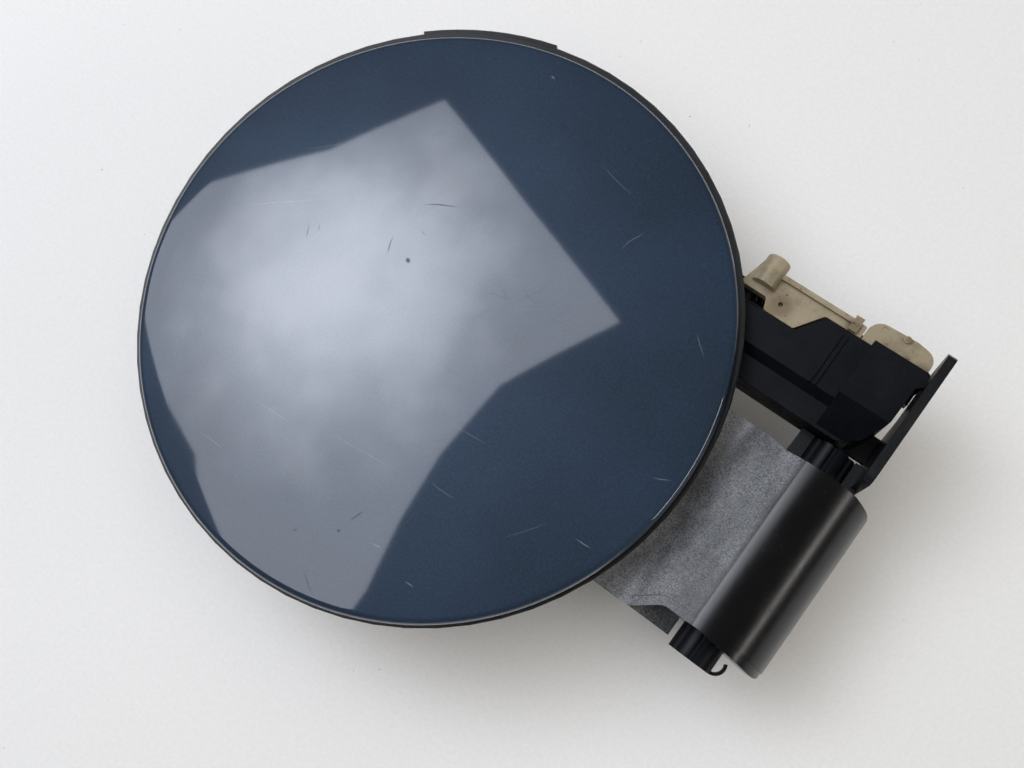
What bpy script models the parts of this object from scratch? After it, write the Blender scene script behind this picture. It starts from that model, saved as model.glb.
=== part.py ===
# Fuel filler flap with its gooseneck hinge and lock slide.
#
# The painted round flap lies face up with its rim level. The hinge axis runs
# along Y, the flap is on its -X side, and the flap opens by turning about +Y.
# The origin is on the bracket's mounting face. Sizes are in metres. The shapes
# are drawn from the hinge axis, and each piece hangs on a datum there.

from math import cos, hypot, pi, radians, sin, sqrt, tan

import bmesh
import bpy
from mathutils import Matrix, Vector

# Fits
TOUCH = 0.0003            # between faces that rest on each other
RUN = 0.0005              # round turning and sliding pieces
STOP_GAP = 0.0006         # from the slide to the cover's slanted edge at rest
PAST = 0.0030             # how far a cutter runs past the face that it opens
SINK = 0.0005             # how far united shapes run into each other

# Facets of the round shapes
SKIN_FACETS = 64          # round the flap
DOME_RINGS = 6            # rings of faces across the crown
PANEL_RINGS = 4
POCKET_FACETS = 64
POCKET_RINGS = 2
BARREL_FACETS = 15
BORE_FACETS = 36
ROD_FACETS = 24
SMALL_FACETS = 16
SCREW_FACETS = 12
COIL_FACETS = 11          # in each turn of a spring

# Hinge axis, seen from the mounting point on the bracket
AXIS_FROM_FACE = 0.011
AXIS_ABOVE_MOUNT = 0.026

# Painted skin, a crowned disc with its rim rolled down
FLAP_REACH = 0.108        # hinge axis to the flap's centre
FLAP_RISE = 0.022         # hinge axis up to the rim plane
SKIN_RADIUS = 0.0825
SKIN_CROWN = 0.0042
SKIN_WALL = 0.0009
SKIN_ROLL = 0.0020
SKIN_SKIRT = 0.0033       # rim plane down to the skirt's edge
ROLL_START = 68.0         # degrees, the roll's first edge past the dome

# Inner panel behind the skin
PANEL_OVERHANG = 0.0021   # how far its rim stands out past the skin
PANEL_SHIFT_X = -0.0009   # it sits a little off the skin's centre
PANEL_SHIFT_Y = 0.0009
PANEL_WALL = 0.0018
PANEL_RIM = 0.0019        # thickness of its rim
PANEL_STEP = 0.0014       # from the skirt's inside to the raised plate
PANEL_DEPTH = 0.0085      # rim plane down to the ribs' edges
PANEL_DRAFT = 0.0002
RIM_SOFT = 0.0004
RIB_WALL = 0.0016
RIB_PITCH = 0.0195
TAB_START = 102.0         # degrees from +X, the rim's raised tab
TAB_END = 129.0
TAB_HEIGHT = 0.0008
BOSS_WALL = 0.0022        # round each screw hole

# Rubber stop buffers on the far side of the panel
BUFFER_INSET = 0.0129     # from the edge of the panel's raised plate
BUFFER_ANGLE = 34.0       # degrees either side of the flap's centre line
BUFFER_RADIUS = 0.0052
BUFFER_STEM = 0.0024
BUFFER_STEM_DEPTH = 0.0035
BUFFER_HEIGHT = 0.0060
BUFFER_SIDE = 0.0021      # the straight part of its side
SOCKET_WALL = 0.0018

# Gooseneck arm, a shell that is open below
ARM_WALL = 0.0024
BARREL_RADIUS = 0.017
BARREL_LOW = -0.0254      # the barrel's ends along the axis
BARREL_HIGH = 0.0248
BARREL_FLARE = 0.0020     # the lower end runs out by this towards the barrel's front
BARREL_DRAW = 0.0012      # the upper end is drawn in by this
BARREL_FLARE_START = -0.0020
BARREL_DRAW_START = 0.0102
BARREL_START = 107.0      # degrees, where the roof runs into the barrel
BARREL_STOP = -62.0       # degrees, lower edge of the barrel
BARREL_CORNER = 0.0032
NECK_LOW = -0.0312        # the neck's sides
NECK_HIGH = 0.0266
NECK_CORNER = 0.0060
NECK_DIP = 0.0069         # corner at the neck's lowest point, height above the axis
NECK_DIP_REACH = 0.0245   # from the axis back to that corner
NECK_EDGE = 0.0345        # from the axis back to where the pad starts
NECK_BEND = 0.0090        # radii of the two bends
PAD_BEND = 0.0080
PAD_LAP = 0.0339          # how far the pad reaches in under the panel's plate
PAD_HALF_LOW = 0.0210     # half widths of the pad's end
PAD_HALF_HIGH = 0.0180
PAD_TAPER = 0.0140        # length over which the pad widens
PAD_CORNER = 0.0040
SHOULDER_FAR = 0.0205     # from the axis back to where the neck narrows
SHOULDER_NEAR = 0.0130
SHOULDER_CORNER = 0.0040
SHOULDER_SKEW = 0.0028    # the upper shoulder lies this much nearer the axis
SKIRT = ((-0.0100, -0.0140), (-0.0205, -0.0065), (-0.0330, -0.0010))  # side walls' lower edge
SKIRT_PAD_HEIGHT = 0.0060
SKIRT_PAD_REACH = 0.0120
SKIRT_END = 0.0050        # height of the wall at the pad's end
EDGE_LOW = 0.0012         # rounding of the roof's two long edges
EDGE_HIGH = 0.0022
ARM_RIB_PLACES = (-0.0135, 0.0105)
WEB_START = 0.0222        # from the axis back to the ledge beside the neck
WEB_REACH = 0.0076        # and to its free end
WEB_HIGH = 0.0028         # heights of the ledge at its two ends
WEB_LOW = -0.0047
WEB_WALL = 0.0016
WEB_DROP = 0.0080

# Screws of the arm, placed from the pad's end and the flap's centre line
ARM_SCREWS = ((0.0065, -0.0130), (0.0065, 0.0120), (0.0210, -0.0190), (0.0210, 0.0170))
ARM_SCREW_BITE = 0.0046   # length of thread in the panel's bosses
ARM_SCREW_FLOOR = 0.0034  # pad under each arm screw's head
ARM_BOSS_DROP = 0.0050

# Hinge spindle and the closing spring on it
SPINDLE_RADIUS = 0.0064
SPINDLE_BORE = 0.0030
SPINDLE_LOW = -0.0328
SPINDLE_HIGH = 0.0344
FLUTES = 8
FLUTE_FACETS = 8          # in each flute
FLUTE_DEPTH = 0.0009
COLLAR_RADIUS = 0.0092    # bearing collars inside the barrel's ends
COLLAR_LENGTH = 0.0020
TONGUE_WALL = 0.0009
TONGUE_HEIGHT = 0.0022
TONGUE_RADIUS = 0.0024
TONGUE_ROOT = 0.0030
TONGUE_START = -95.0      # degrees, the curl's two ends
TONGUE_STOP = 28.0
SPRING_WIRE = 0.0015
SPRING_PITCH = 0.0021
SPRING_TURNS = 7

# Mounting bracket, heights from the hinge axis
PLATE_WALL = 0.0025
PLATE_BOTTOM = -0.0320
PLATE_CORNER = 0.0030
FOOT_TOP = -0.0195
FOOT_LOW = -0.0240        # the foot's end along the axis
FOOT_DEPTH = 0.0210       # the foot's floor, from the mounting face
GUSSET_REACH = 0.0100
MOUNT_HOLE = 0.0028
MOUNT_HOLE_PLACE = 0.0160
LUG_LOW = 0.0254          # the saddle lug along the axis
LUG_REACH = 0.0100        # from the axis back to the lug's side
LUG_TOP = 0.0026
LUG_WALL = 0.0030
SADDLE_WALL = 0.0040
WING_START = 0.0284
WING_ROOT = -0.0280       # height of the wing's root
WING_UNDER = 0.0035       # height of its lower edge at mid length
WING_DROP = 0.0100        # how far the haunch lies below that
WING_RISE = 0.0030        # and the nose above it
WING_TOP = 0.0198
WING_TIP = 0.0680
WING_HAUNCH = 0.0060      # the wing's lower edge, past the housing's near wall
WING_WAIST = 0.0140
WING_NOSE = 0.0065
SHELF_LENGTH = 0.0130
SHELF_WALL = 0.0026
SHELF_FREE = 0.0010       # the shelf's side, from the axis
SHELF_FLANGE = 0.0020     # the flange to the plate starts this far past the near wall
SHELF_FLANGE_END = 0.0100

# Lock housing
HOUSING_NEAR = 0.0350     # its wall beside the arm
HOUSING_FAR = 0.0635      # the rail under the slide
HOUSING_LEFT = -0.0560
HOUSING_BOTTOM = -0.0030
HOUSING_WALL = 0.0020
HOUSING_CORNER = 0.0030
HOUSING_SPLIT = 0.0038    # where base and cover meet
HOUSING_CURVE = ((0.0100, 0.0, 0.002), (0.0047, 0.0032, 0.003), (0.0017, 0.0095, 0.004),
                 (0.0014, 0.0205, 0.0), (0.0, 0.0218, 0.0))  # in from the wing, along it, radius
RAIL_TOP = 0.0074
RAIL_END = 0.0020         # from the post's centre line to the rail's end
RAIL_NOTCH = 0.0025       # the rail's slanted end
RAIL_NOTCH_DEPTH = 0.0070
COVER_LOW_TOP = 0.0090
COVER_MID_TOP = 0.0118
COVER_STEP = 0.0415       # the step along the cover
COVER_RISE = 0.0022       # length of the step's slope
COVER_FAR = 0.0534        # the cover's edge beside the slide
COVER_CHAMFER = 0.0007
COVER_LEFT_CUT = 0.0080   # the cover's cut corner
COVER_LEFT_DEPTH = 0.0034
SLANT_START = -0.0264     # the cover's slanted edge beside the slide
SLANT_END = -0.0212
BLOCK_TOP = 0.0170
BLOCK_LEFT = -0.0080      # the raised block's left side
BLOCK_NEAR = 0.0445       # where its top starts to slope to the near wall
BLOCK_SOFT = 0.0015
BLOCK_ROOM_SETBACK = 0.0045
RIDGE_PLACES = (-0.0156, -0.0141)  # two thin beads beside the block
RIDGE_WIDTH = 0.0006
RIDGE_HEIGHT = 0.0006
RIDGE_SETBACK = 0.0020    # from the cover's edge

# Nylon lock slide, its guide and its spring
SLIDE_TRAVEL = 0.0080
SLIDE_WALL = 0.0032
FOOT_LEFT = 0.0056        # the slide's wide end, either side of the post's centre line
FOOT_RIGHT = 0.0026
FOOT_SLOPE = 0.0012
BAR_NEAR = 0.0612
BAR_FAR = 0.0648
BAR_CORNER = 0.0010
BAR_LIP_WIDTH = 0.0016
BAR_LIP_HEIGHT = 0.0012
BAR_STEP_END = 0.0016     # the step, from the bar's end
BAR_STEP_LENGTH = 0.0024
BAR_STEP_PROUD = 0.0010
POST_RADIUS = 0.0034
POST_PLACE = -0.0400
POST_END = 0.0676
POST_SOFT = 0.0006
POST_ROOT = 0.0020        # how far the post runs into the slide
PIN_MARK = 0.0007         # small blind hole in the wide end
PIN_MARK_PLACE = 0.0068   # from the post's centre line
PEG_PLACE = -0.0310
PEG_SIZE = 0.0030
PEG_DEPTH = 0.0062        # below the rail's top
PEG_SETBACK = 0.0040      # from the cover's edge
GUIDE_WALL = 0.0028
GUIDE_SETBACK = 0.0030    # its tongue under the cover
GUIDE_FAR = 0.0686
GUIDE_LEFT = -0.0110
GUIDE_RIGHT = 0.0076
GUIDE_CORNER = 0.0040
NUB_PLACE = -0.0012
NUB_RADIUS = 0.0010
GATE_MARK = 0.0009
GATE_MARK_PLACE = -0.0072
RETURN_WIRE = 0.0006
RETURN_RADIUS = 0.0017
RETURN_TURNS = 8
RETURN_PRESSED = 0.0072   # the spring's length with the slide fully home
RETURN_DEPTH = 0.0042     # its centre line below the rail's top

# Screws
ARM_SCREW = 0.0018        # shank radii
HOUSING_SCREW = 0.0014
BRACKET_SCREW = 0.0016
ARM_HEAD = 0.0022         # head heights
HOUSING_HEAD = 0.0014
BRACKET_HEAD = 0.0020
PAN_HEAD = 2.1            # head radius over shank radius
PAN_TOP = 0.8             # radius of the head's flat top over the head's radius
PAN_SHOULDER = 0.65       # height of its side over the head's height
FLAT_HEAD = 2.0
SOCKET = 0.9              # socket radius over shank radius
SOCKET_DEPTH = 0.55       # share of the head's height
HOUSING_SCREWS = ((0.0060, 0.0045), (0.0320, 0.0045), (0.0450, 0.0140))  # from its left and near walls
SHELF_SCREW_PLACE = (-0.0045, 0.0425)
WING_SCREW_PLACE = 0.0590
WING_SCREW_LENGTH = 0.0060
TIP_COVER = 0.0013        # cover left over the screws' tips

# Heights and places that follow from the sizes above
FACE = AXIS_FROM_FACE
PLATE_INNER = FACE - PLATE_WALL
PANEL_RADIUS = SKIN_RADIUS + PANEL_OVERHANG
PANEL_OFFSET = hypot(PANEL_SHIFT_X, PANEL_SHIFT_Y)
PANEL_CENTRE = Vector((-FLAP_REACH + PANEL_SHIFT_X, PANEL_SHIFT_Y, FLAP_RISE))
PANEL_BOTTOM = FLAP_RISE - PANEL_DEPTH
BOSS_BOTTOM = PANEL_BOTTOM + PANEL_DRAFT
PLATE_EDGE = SKIN_RADIUS - SKIN_WALL - PANEL_STEP - PANEL_OFFSET
BUFFER_RING = PLATE_EDGE - BUFFER_INSET
RIM_TOP = -SKIN_SKIRT - TOUCH
RIM_BOTTOM = RIM_TOP - PANEL_RIM
BUFFER_TOP = PANEL_BOTTOM + BUFFER_STEM_DEPTH
PAD_REACH = FLAP_REACH - PLATE_EDGE + PAD_LAP
PAD_TOP = PANEL_BOTTOM - TOUCH
ARM_SCREW_PLACES = [(x - PAD_REACH, y) for x, y in ARM_SCREWS]
ARM_SCREW_SEAT = PAD_TOP - ARM_SCREW_FLOOR
ARM_SCREW_TIP = PANEL_BOTTOM + ARM_SCREW_BITE
SPINDLE_HOLE = SPINDLE_RADIUS + RUN
SPRING_COIL = SPINDLE_RADIUS + RUN + SPRING_WIRE
SPRING_ROOM = BARREL_RADIUS - ARM_WALL - SPRING_WIRE / 2 - RUN
ARM_RIB_DEPTH = SPRING_ROOM - SPRING_COIL
SADDLE = SPINDLE_RADIUS + TOUCH
SHELF_TOP = HOUSING_BOTTOM - TOUCH
HOUSING_RIGHT = PLATE_INNER - TOUCH
HOUSING_FLOOR = HOUSING_BOTTOM + HOUSING_WALL
HOUSING_SCREW_PLACES = [(HOUSING_LEFT + x, HOUSING_NEAR + y) for x, y in HOUSING_SCREWS]
HOUSING_SCREW_SEAT = HOUSING_FLOOR - TOUCH
HOUSING_SCREW_TIP = COVER_LOW_TOP - TIP_COVER - TOUCH
COVER_BOTTOM = HOUSING_SPLIT + TOUCH
SPRING_LINE = COVER_FAR + PEG_SETBACK
PEG_LEFT = PEG_PLACE - PEG_SIZE / 2
CHANNEL_LEFT = PEG_LEFT - SLIDE_TRAVEL - RETURN_PRESSED
SLIDE_BOTTOM = RAIL_TOP + TOUCH
SLIDE_TOP = SLIDE_BOTTOM + SLIDE_WALL
BAR_END = GUIDE_LEFT - TOUCH
GUIDE_TOP = SLIDE_BOTTOM + GUIDE_WALL
GUIDE_NEAR = COVER_FAR + GUIDE_SETBACK
WING_SCREW_HEIGHT = GUIDE_TOP + BRACKET_SCREW + 3 * TOUCH
WING_SCREW_TIP = HOUSING_RIGHT - WING_SCREW_LENGTH


# Shape helpers

def rounded(corners, steps=3):
    """Outline through (a, b, radius) corners, each rounded by its radius."""
    points = []
    count = len(corners)
    for i, (a, b, radius) in enumerate(corners):
        here = Vector((a, b))
        if radius <= 0:
            points.append(here)
            continue
        back = Vector(corners[i - 1][:2]) - here
        ahead = Vector(corners[(i + 1) % count][:2]) - here
        half = back.angle(ahead) / 2
        reach = min(radius / tan(half), 0.48 * back.length, 0.48 * ahead.length)
        radius = reach * tan(half)
        centre = here + (back.normalized() + ahead.normalized()).normalized() * (radius / sin(half))
        start = here + back.normalized() * reach - centre
        end = here + ahead.normalized() * reach - centre
        turn = start.angle_signed(end)
        for k in range(steps + 1):
            points.append(centre + Matrix.Rotation(-turn * k / steps, 2) @ start)
    return [(p.x, p.y) for p in points]


def offset_path(points, distance, closed=False):
    """Path beside the given one, on its left by the distance."""
    result = []
    count = len(points)
    for i, point in enumerate(points):
        here = Vector(point)
        before = Vector(points[i - 1]) if closed or i > 0 else None
        after = Vector(points[(i + 1) % count]) if closed or i < count - 1 else None
        sides = []
        for start, end in ((before, here), (here, after)):
            if start is not None and end is not None:
                along = (end - start).normalized()
                sides.append(Vector((-along.y, along.x)))
        mean = sum(sides, Vector((0, 0))).normalized()
        result.append(tuple(here + mean * (distance / mean.dot(sides[0]))))
    return result


def arc(centre, radius, start, stop, steps):
    """Points on a circle, from one angle in degrees to another."""
    return [(centre[0] + radius * cos(radians(start + (stop - start) * k / steps)),
             centre[1] + radius * sin(radians(start + (stop - start) * k / steps)))
            for k in range(steps + 1)]


def new_object(name, bm):
    """Object made from a bmesh, with its faces pointing out."""
    bmesh.ops.recalc_face_normals(bm, faces=bm.faces)
    mesh = bpy.data.meshes.new(name)
    bm.to_mesh(mesh)
    bm.free()
    obj = bpy.data.objects.new(name, mesh)
    bpy.context.scene.collection.objects.link(obj)
    return obj


def prism(name, outline, low, high, axis="Z"):
    """Closed outline pushed along an axis, from low to high."""
    place = {
        "X": lambda a, b, h: (h, a, b),
        "Y": lambda a, b, h: (a, h, b),
        "Z": lambda a, b, h: (a, b, h),
    }[axis]
    bm = bmesh.new()
    bottom = bm.faces.new([bm.verts.new(place(a, b, low)) for a, b in outline])
    moved = bmesh.ops.extrude_face_region(bm, geom=[bottom])
    top = [v for v in moved["geom"] if isinstance(v, bmesh.types.BMVert)]
    bmesh.ops.translate(bm, verts=top, vec=Vector(place(0, 0, high - low)))
    return new_object(name, bm)


def box(name, low, high):
    """Rectangular block between two corners."""
    outline = [(low[0], low[1]), (high[0], low[1]), (high[0], high[1]), (low[0], high[1])]
    return prism(name, outline, low[2], high[2])


def rod(name, start, end, radius, segments=ROD_FACETS, end_radius=None):
    """Round bar or cone between two points."""
    start, end = Vector(start), Vector(end)
    along = end - start
    turn = along.to_track_quat("Z", "Y").to_matrix().to_4x4()
    bm = bmesh.new()
    bmesh.ops.create_cone(bm, cap_ends=True, segments=segments, radius1=radius,
                          radius2=radius if end_radius is None else end_radius, depth=along.length,
                          matrix=Matrix.Translation((start + end) / 2) @ turn)
    return new_object(name, bm)


def upright(name, x, y, low, high, radius, segments=SMALL_FACETS):
    """Upright round bar at a place, between two heights."""
    return rod(name, (x, y, low), (x, y, high), radius, segments)


def turned(name, profile, centre, segments, direction=None):
    """Outline of (radius, height) points spun about an axis through the centre."""
    bm = bmesh.new()
    verts = [bm.verts.new((r, 0, h)) for r, h in profile]
    edges = []
    for a, b in zip(verts, verts[1:] + verts[:1]):
        if a.co.x > 0 or b.co.x > 0:
            edges.append(bm.edges.new((a, b)))
    bmesh.ops.spin(bm, geom=verts + edges, axis=(0, 0, 1), cent=(0, 0, 0), angle=2 * pi,
                   steps=segments, use_duplicate=False, use_merge=True)
    bmesh.ops.remove_doubles(bm, verts=bm.verts, dist=1e-7)
    if direction is not None:
        bm.transform(Vector(direction).to_track_quat("Z", "Y").to_matrix().to_4x4())
    bmesh.ops.translate(bm, verts=bm.verts, vec=Vector(centre))
    return new_object(name, bm)


def wire(name, points, radius, resolution=1):
    """Round wire with filled ends along a list of points."""
    curve = bpy.data.curves.new(name, "CURVE")
    curve.dimensions = "3D"
    curve.bevel_depth = radius
    curve.bevel_resolution = resolution
    curve.use_fill_caps = True
    spline = curve.splines.new("POLY")
    spline.points.add(len(points) - 1)
    for target, point in zip(spline.points, points):
        target.co = (*point, 1)
    obj = bpy.data.objects.new(name, curve)
    bpy.context.scene.collection.objects.link(obj)
    return obj


def boolean(target, tool, operation):
    """Apply one Boolean to the target and remove the tool."""
    modifier = target.modifiers.new("shape", "BOOLEAN")
    modifier.operation = operation
    modifier.solver = "EXACT"
    modifier.object = tool
    evaluated = target.evaluated_get(bpy.context.evaluated_depsgraph_get())
    old = target.data
    mesh = bpy.data.meshes.new_from_object(evaluated)
    target.modifiers.clear()
    target.data = mesh
    bpy.data.meshes.remove(old)
    bpy.data.objects.remove(tool)


def join(target, *tools):
    """Unite the target with other solids."""
    for tool in tools:
        boolean(target, tool, "UNION")


def cut(target, *tools):
    """Take other solids away from the target."""
    for tool in tools:
        boolean(target, tool, "DIFFERENCE")


def soften(obj, width, chosen, segments=2):
    """Bevel the sharp edges that the test picks."""
    bm = bmesh.new()
    bm.from_mesh(obj.data)
    bmesh.ops.dissolve_limit(bm, angle_limit=radians(0.5), verts=bm.verts, edges=bm.edges)
    edges = [e for e in bm.edges if len(e.link_faces) == 2
             and e.calc_face_angle() > radians(35) and chosen(e)]
    bmesh.ops.bevel(bm, geom=edges, offset=width, segments=segments, profile=0.5,
                    affect="EDGES", clamp_overlap=True)
    bm.to_mesh(obj.data)
    bm.free()


def material(name, colour, roughness, metallic=0.0):
    """Plain surface colour of one piece."""
    result = bpy.data.materials.new(name)
    result.use_nodes = True
    shader = result.node_tree.nodes["Principled BSDF"]
    shader.inputs["Base Color"].default_value = (*colour, 1)
    shader.inputs["Roughness"].default_value = roughness
    shader.inputs["Metallic"].default_value = metallic
    return result


def finish(obj, surface, parent):
    """Dress a finished piece and hang it on its datum."""
    obj.data.materials.clear()
    obj.data.materials.append(surface)
    if obj.type == "MESH":
        obj.data.shade_smooth()
        obj.data.set_sharp_from_angle(angle=radians(35))
    obj.parent = parent


# Flap

def crown(radius):
    """Height of the skin's outer face above the rim plane."""
    ball = (SKIN_RADIUS ** 2 + SKIN_CROWN ** 2) / (2 * SKIN_CROWN)
    return sqrt(ball ** 2 - radius ** 2) - (ball - SKIN_CROWN)


def flap_skin():
    """Crowned painted disc whose rim rolls down into a short skirt."""
    dome_edge = SKIN_RADIUS - SKIN_ROLL
    roll = (dome_edge, crown(dome_edge) - SKIN_ROLL)
    rings = [dome_edge * k / DOME_RINGS for k in range(DOME_RINGS + 1)]
    profile = [(radius, crown(radius)) for radius in rings]
    profile += arc(roll, SKIN_ROLL, ROLL_START, 0, 3)
    profile += [(SKIN_RADIUS, -SKIN_SKIRT), (SKIN_RADIUS - SKIN_WALL, -SKIN_SKIRT)]
    profile += arc(roll, SKIN_ROLL - SKIN_WALL, 0, ROLL_START, 2)
    profile += [(radius, crown(radius) - SKIN_WALL) for radius in reversed(rings[::2])]
    return turned("flap_skin", profile, (-FLAP_REACH, 0, FLAP_RISE), SKIN_FACETS)


def panel_height(radius):
    """Height of the inner panel's plate from the rim plane, clear of the skin above it."""
    return crown(radius + PANEL_OFFSET) - SKIN_WALL - TOUCH


def inner_panel():
    """Black dish behind the skin, with ribs, screw bosses and buffer sockets."""
    rings = [PLATE_EDGE * k / PANEL_RINGS for k in range(PANEL_RINGS + 1)]
    profile = [(radius, panel_height(radius)) for radius in rings]
    profile += [(PLATE_EDGE + PANEL_DRAFT, RIM_TOP), (PANEL_RADIUS - RIM_SOFT, RIM_TOP),
                (PANEL_RADIUS, RIM_TOP - RIM_SOFT), (PANEL_RADIUS, RIM_BOTTOM + RIM_SOFT),
                (PANEL_RADIUS - RIM_SOFT, RIM_BOTTOM), (PLATE_EDGE, RIM_BOTTOM),
                (PLATE_EDGE, -PANEL_DEPTH), (0, -PANEL_DEPTH)]
    panel = turned("inner_panel", profile, PANEL_CENTRE, SKIN_FACETS)
    cut(panel, panel_pockets())
    for x, y in ARM_SCREW_PLACES:
        roof = PANEL_CENTRE.z + panel_height(hypot(x + FLAP_REACH, y)) - PANEL_WALL / 2
        join(panel, upright("boss", x, y, BOSS_BOTTOM, roof, ARM_SCREW + BOSS_WALL))
    for x, y in buffer_places():
        roof = PANEL_CENTRE.z + panel_height(BUFFER_RING) - PANEL_WALL / 2
        join(panel, upright("socket", x, y, BOSS_BOTTOM, roof, BUFFER_STEM + SOCKET_WALL))
    join(panel, rim_tab())
    for x, y in ARM_SCREW_PLACES:
        cut(panel, upright("hole", x, y, PANEL_BOTTOM - PAST, ARM_SCREW_TIP + TOUCH, ARM_SCREW + TOUCH,
                           SCREW_FACETS))
    for x, y in buffer_places():
        cut(panel, upright("hole", x, y, PANEL_BOTTOM - PAST, BUFFER_TOP + TOUCH, BUFFER_STEM + TOUCH))
    return panel


def panel_pockets():
    """The spaces between the panel's parallel ribs, under a roof that follows the plate."""
    reach = PLATE_EDGE - RIB_WALL
    rings = [reach * k / POCKET_RINGS for k in range(POCKET_RINGS + 1)]
    profile = [(radius, panel_height(radius) - PANEL_WALL) for radius in rings]
    profile += [(reach, -PANEL_DEPTH - PAST), (0, -PANEL_DEPTH - PAST)]
    pockets = turned("pockets", profile, PANEL_CENTRE, POCKET_FACETS)
    count = round(reach / RIB_PITCH)
    for k in range(-count, count):
        y = PANEL_CENTRE.y + RIB_PITCH * (k + 0.5)
        cut(pockets, box("rib", (PANEL_CENTRE.x - SKIN_RADIUS, y - RIB_WALL / 2, PANEL_BOTTOM - 2 * PAST),
                         (PANEL_CENTRE.x + SKIN_RADIUS, y + RIB_WALL / 2, FLAP_RISE + SKIN_CROWN)))
    return pockets


def rim_tab():
    """Raised tab on the panel's rim."""
    outline = arc((0, 0), PANEL_RADIUS + TAB_HEIGHT, TAB_START, TAB_END, 8)
    outline += arc((0, 0), PANEL_RADIUS - PANEL_OVERHANG / 2, TAB_END, TAB_START, 8)
    tab = prism("tab", outline, RIM_BOTTOM + PANEL_DRAFT, RIM_TOP - PANEL_DRAFT)
    tab.data.transform(Matrix.Translation(PANEL_CENTRE))
    return tab


def buffer_places():
    """Places of the two stop buffers."""
    angles = [radians(180 + side * BUFFER_ANGLE) for side in (-1, 1)]
    return [(PANEL_CENTRE.x + BUFFER_RING * cos(angle), PANEL_CENTRE.y + BUFFER_RING * sin(angle))
            for angle in angles]


def stop_buffer(index, x, y):
    """Rubber buffer, a domed foot on a stem."""
    top = PANEL_BOTTOM - TOUCH
    dome = BUFFER_HEIGHT - BUFFER_SIDE
    quarter = [radians(30 * k) for k in range(4)]
    profile = [(BUFFER_RADIUS * sin(angle), top - BUFFER_SIDE - dome * cos(angle)) for angle in quarter]
    profile += [(BUFFER_RADIUS, top), (BUFFER_STEM, top), (BUFFER_STEM, BUFFER_TOP), (0, BUFFER_TOP)]
    return turned("stop_buffer_%d" % index, profile, (x, y, 0), ROD_FACETS)


# Arm

def arm_roof():
    """Outer line of the arm's roof in the XZ plane, from the pad to the barrel's lower edge."""
    barrel = arc((0, 0), BARREL_RADIUS, BARREL_START, BARREL_STOP, BARREL_FACETS)
    neck = rounded([(-PAD_REACH, PAD_TOP, 0), (-NECK_EDGE, PAD_TOP, PAD_BEND),
                    (-NECK_DIP_REACH, NECK_DIP, NECK_BEND), (*barrel[0], 0)])
    return neck + barrel[1:]


def arm_plan(inset=0.0):
    """The arm's outline from above, or the same moved inwards."""
    tip = BARREL_RADIUS + SINK
    corners = [(-PAD_REACH, -PAD_HALF_LOW, PAD_CORNER), (-PAD_REACH + PAD_TAPER, NECK_LOW, NECK_CORNER),
               (-SHOULDER_FAR, NECK_LOW, SHOULDER_CORNER), (-SHOULDER_NEAR, BARREL_LOW, SHOULDER_CORNER),
               (BARREL_FLARE_START, BARREL_LOW, 0), (tip, BARREL_LOW - BARREL_FLARE, BARREL_CORNER),
               (tip, BARREL_HIGH - BARREL_DRAW, BARREL_CORNER), (BARREL_DRAW_START, BARREL_HIGH, 0),
               (-SHOULDER_NEAR + SHOULDER_SKEW, BARREL_HIGH, SHOULDER_CORNER),
               (-SHOULDER_FAR + SHOULDER_SKEW, NECK_HIGH, SHOULDER_CORNER),
               (-PAD_REACH + PAD_TAPER, NECK_HIGH, NECK_CORNER), (-PAD_REACH, PAD_HALF_HIGH, PAD_CORNER)]
    return offset_path(rounded(corners), inset, closed=True)


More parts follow.
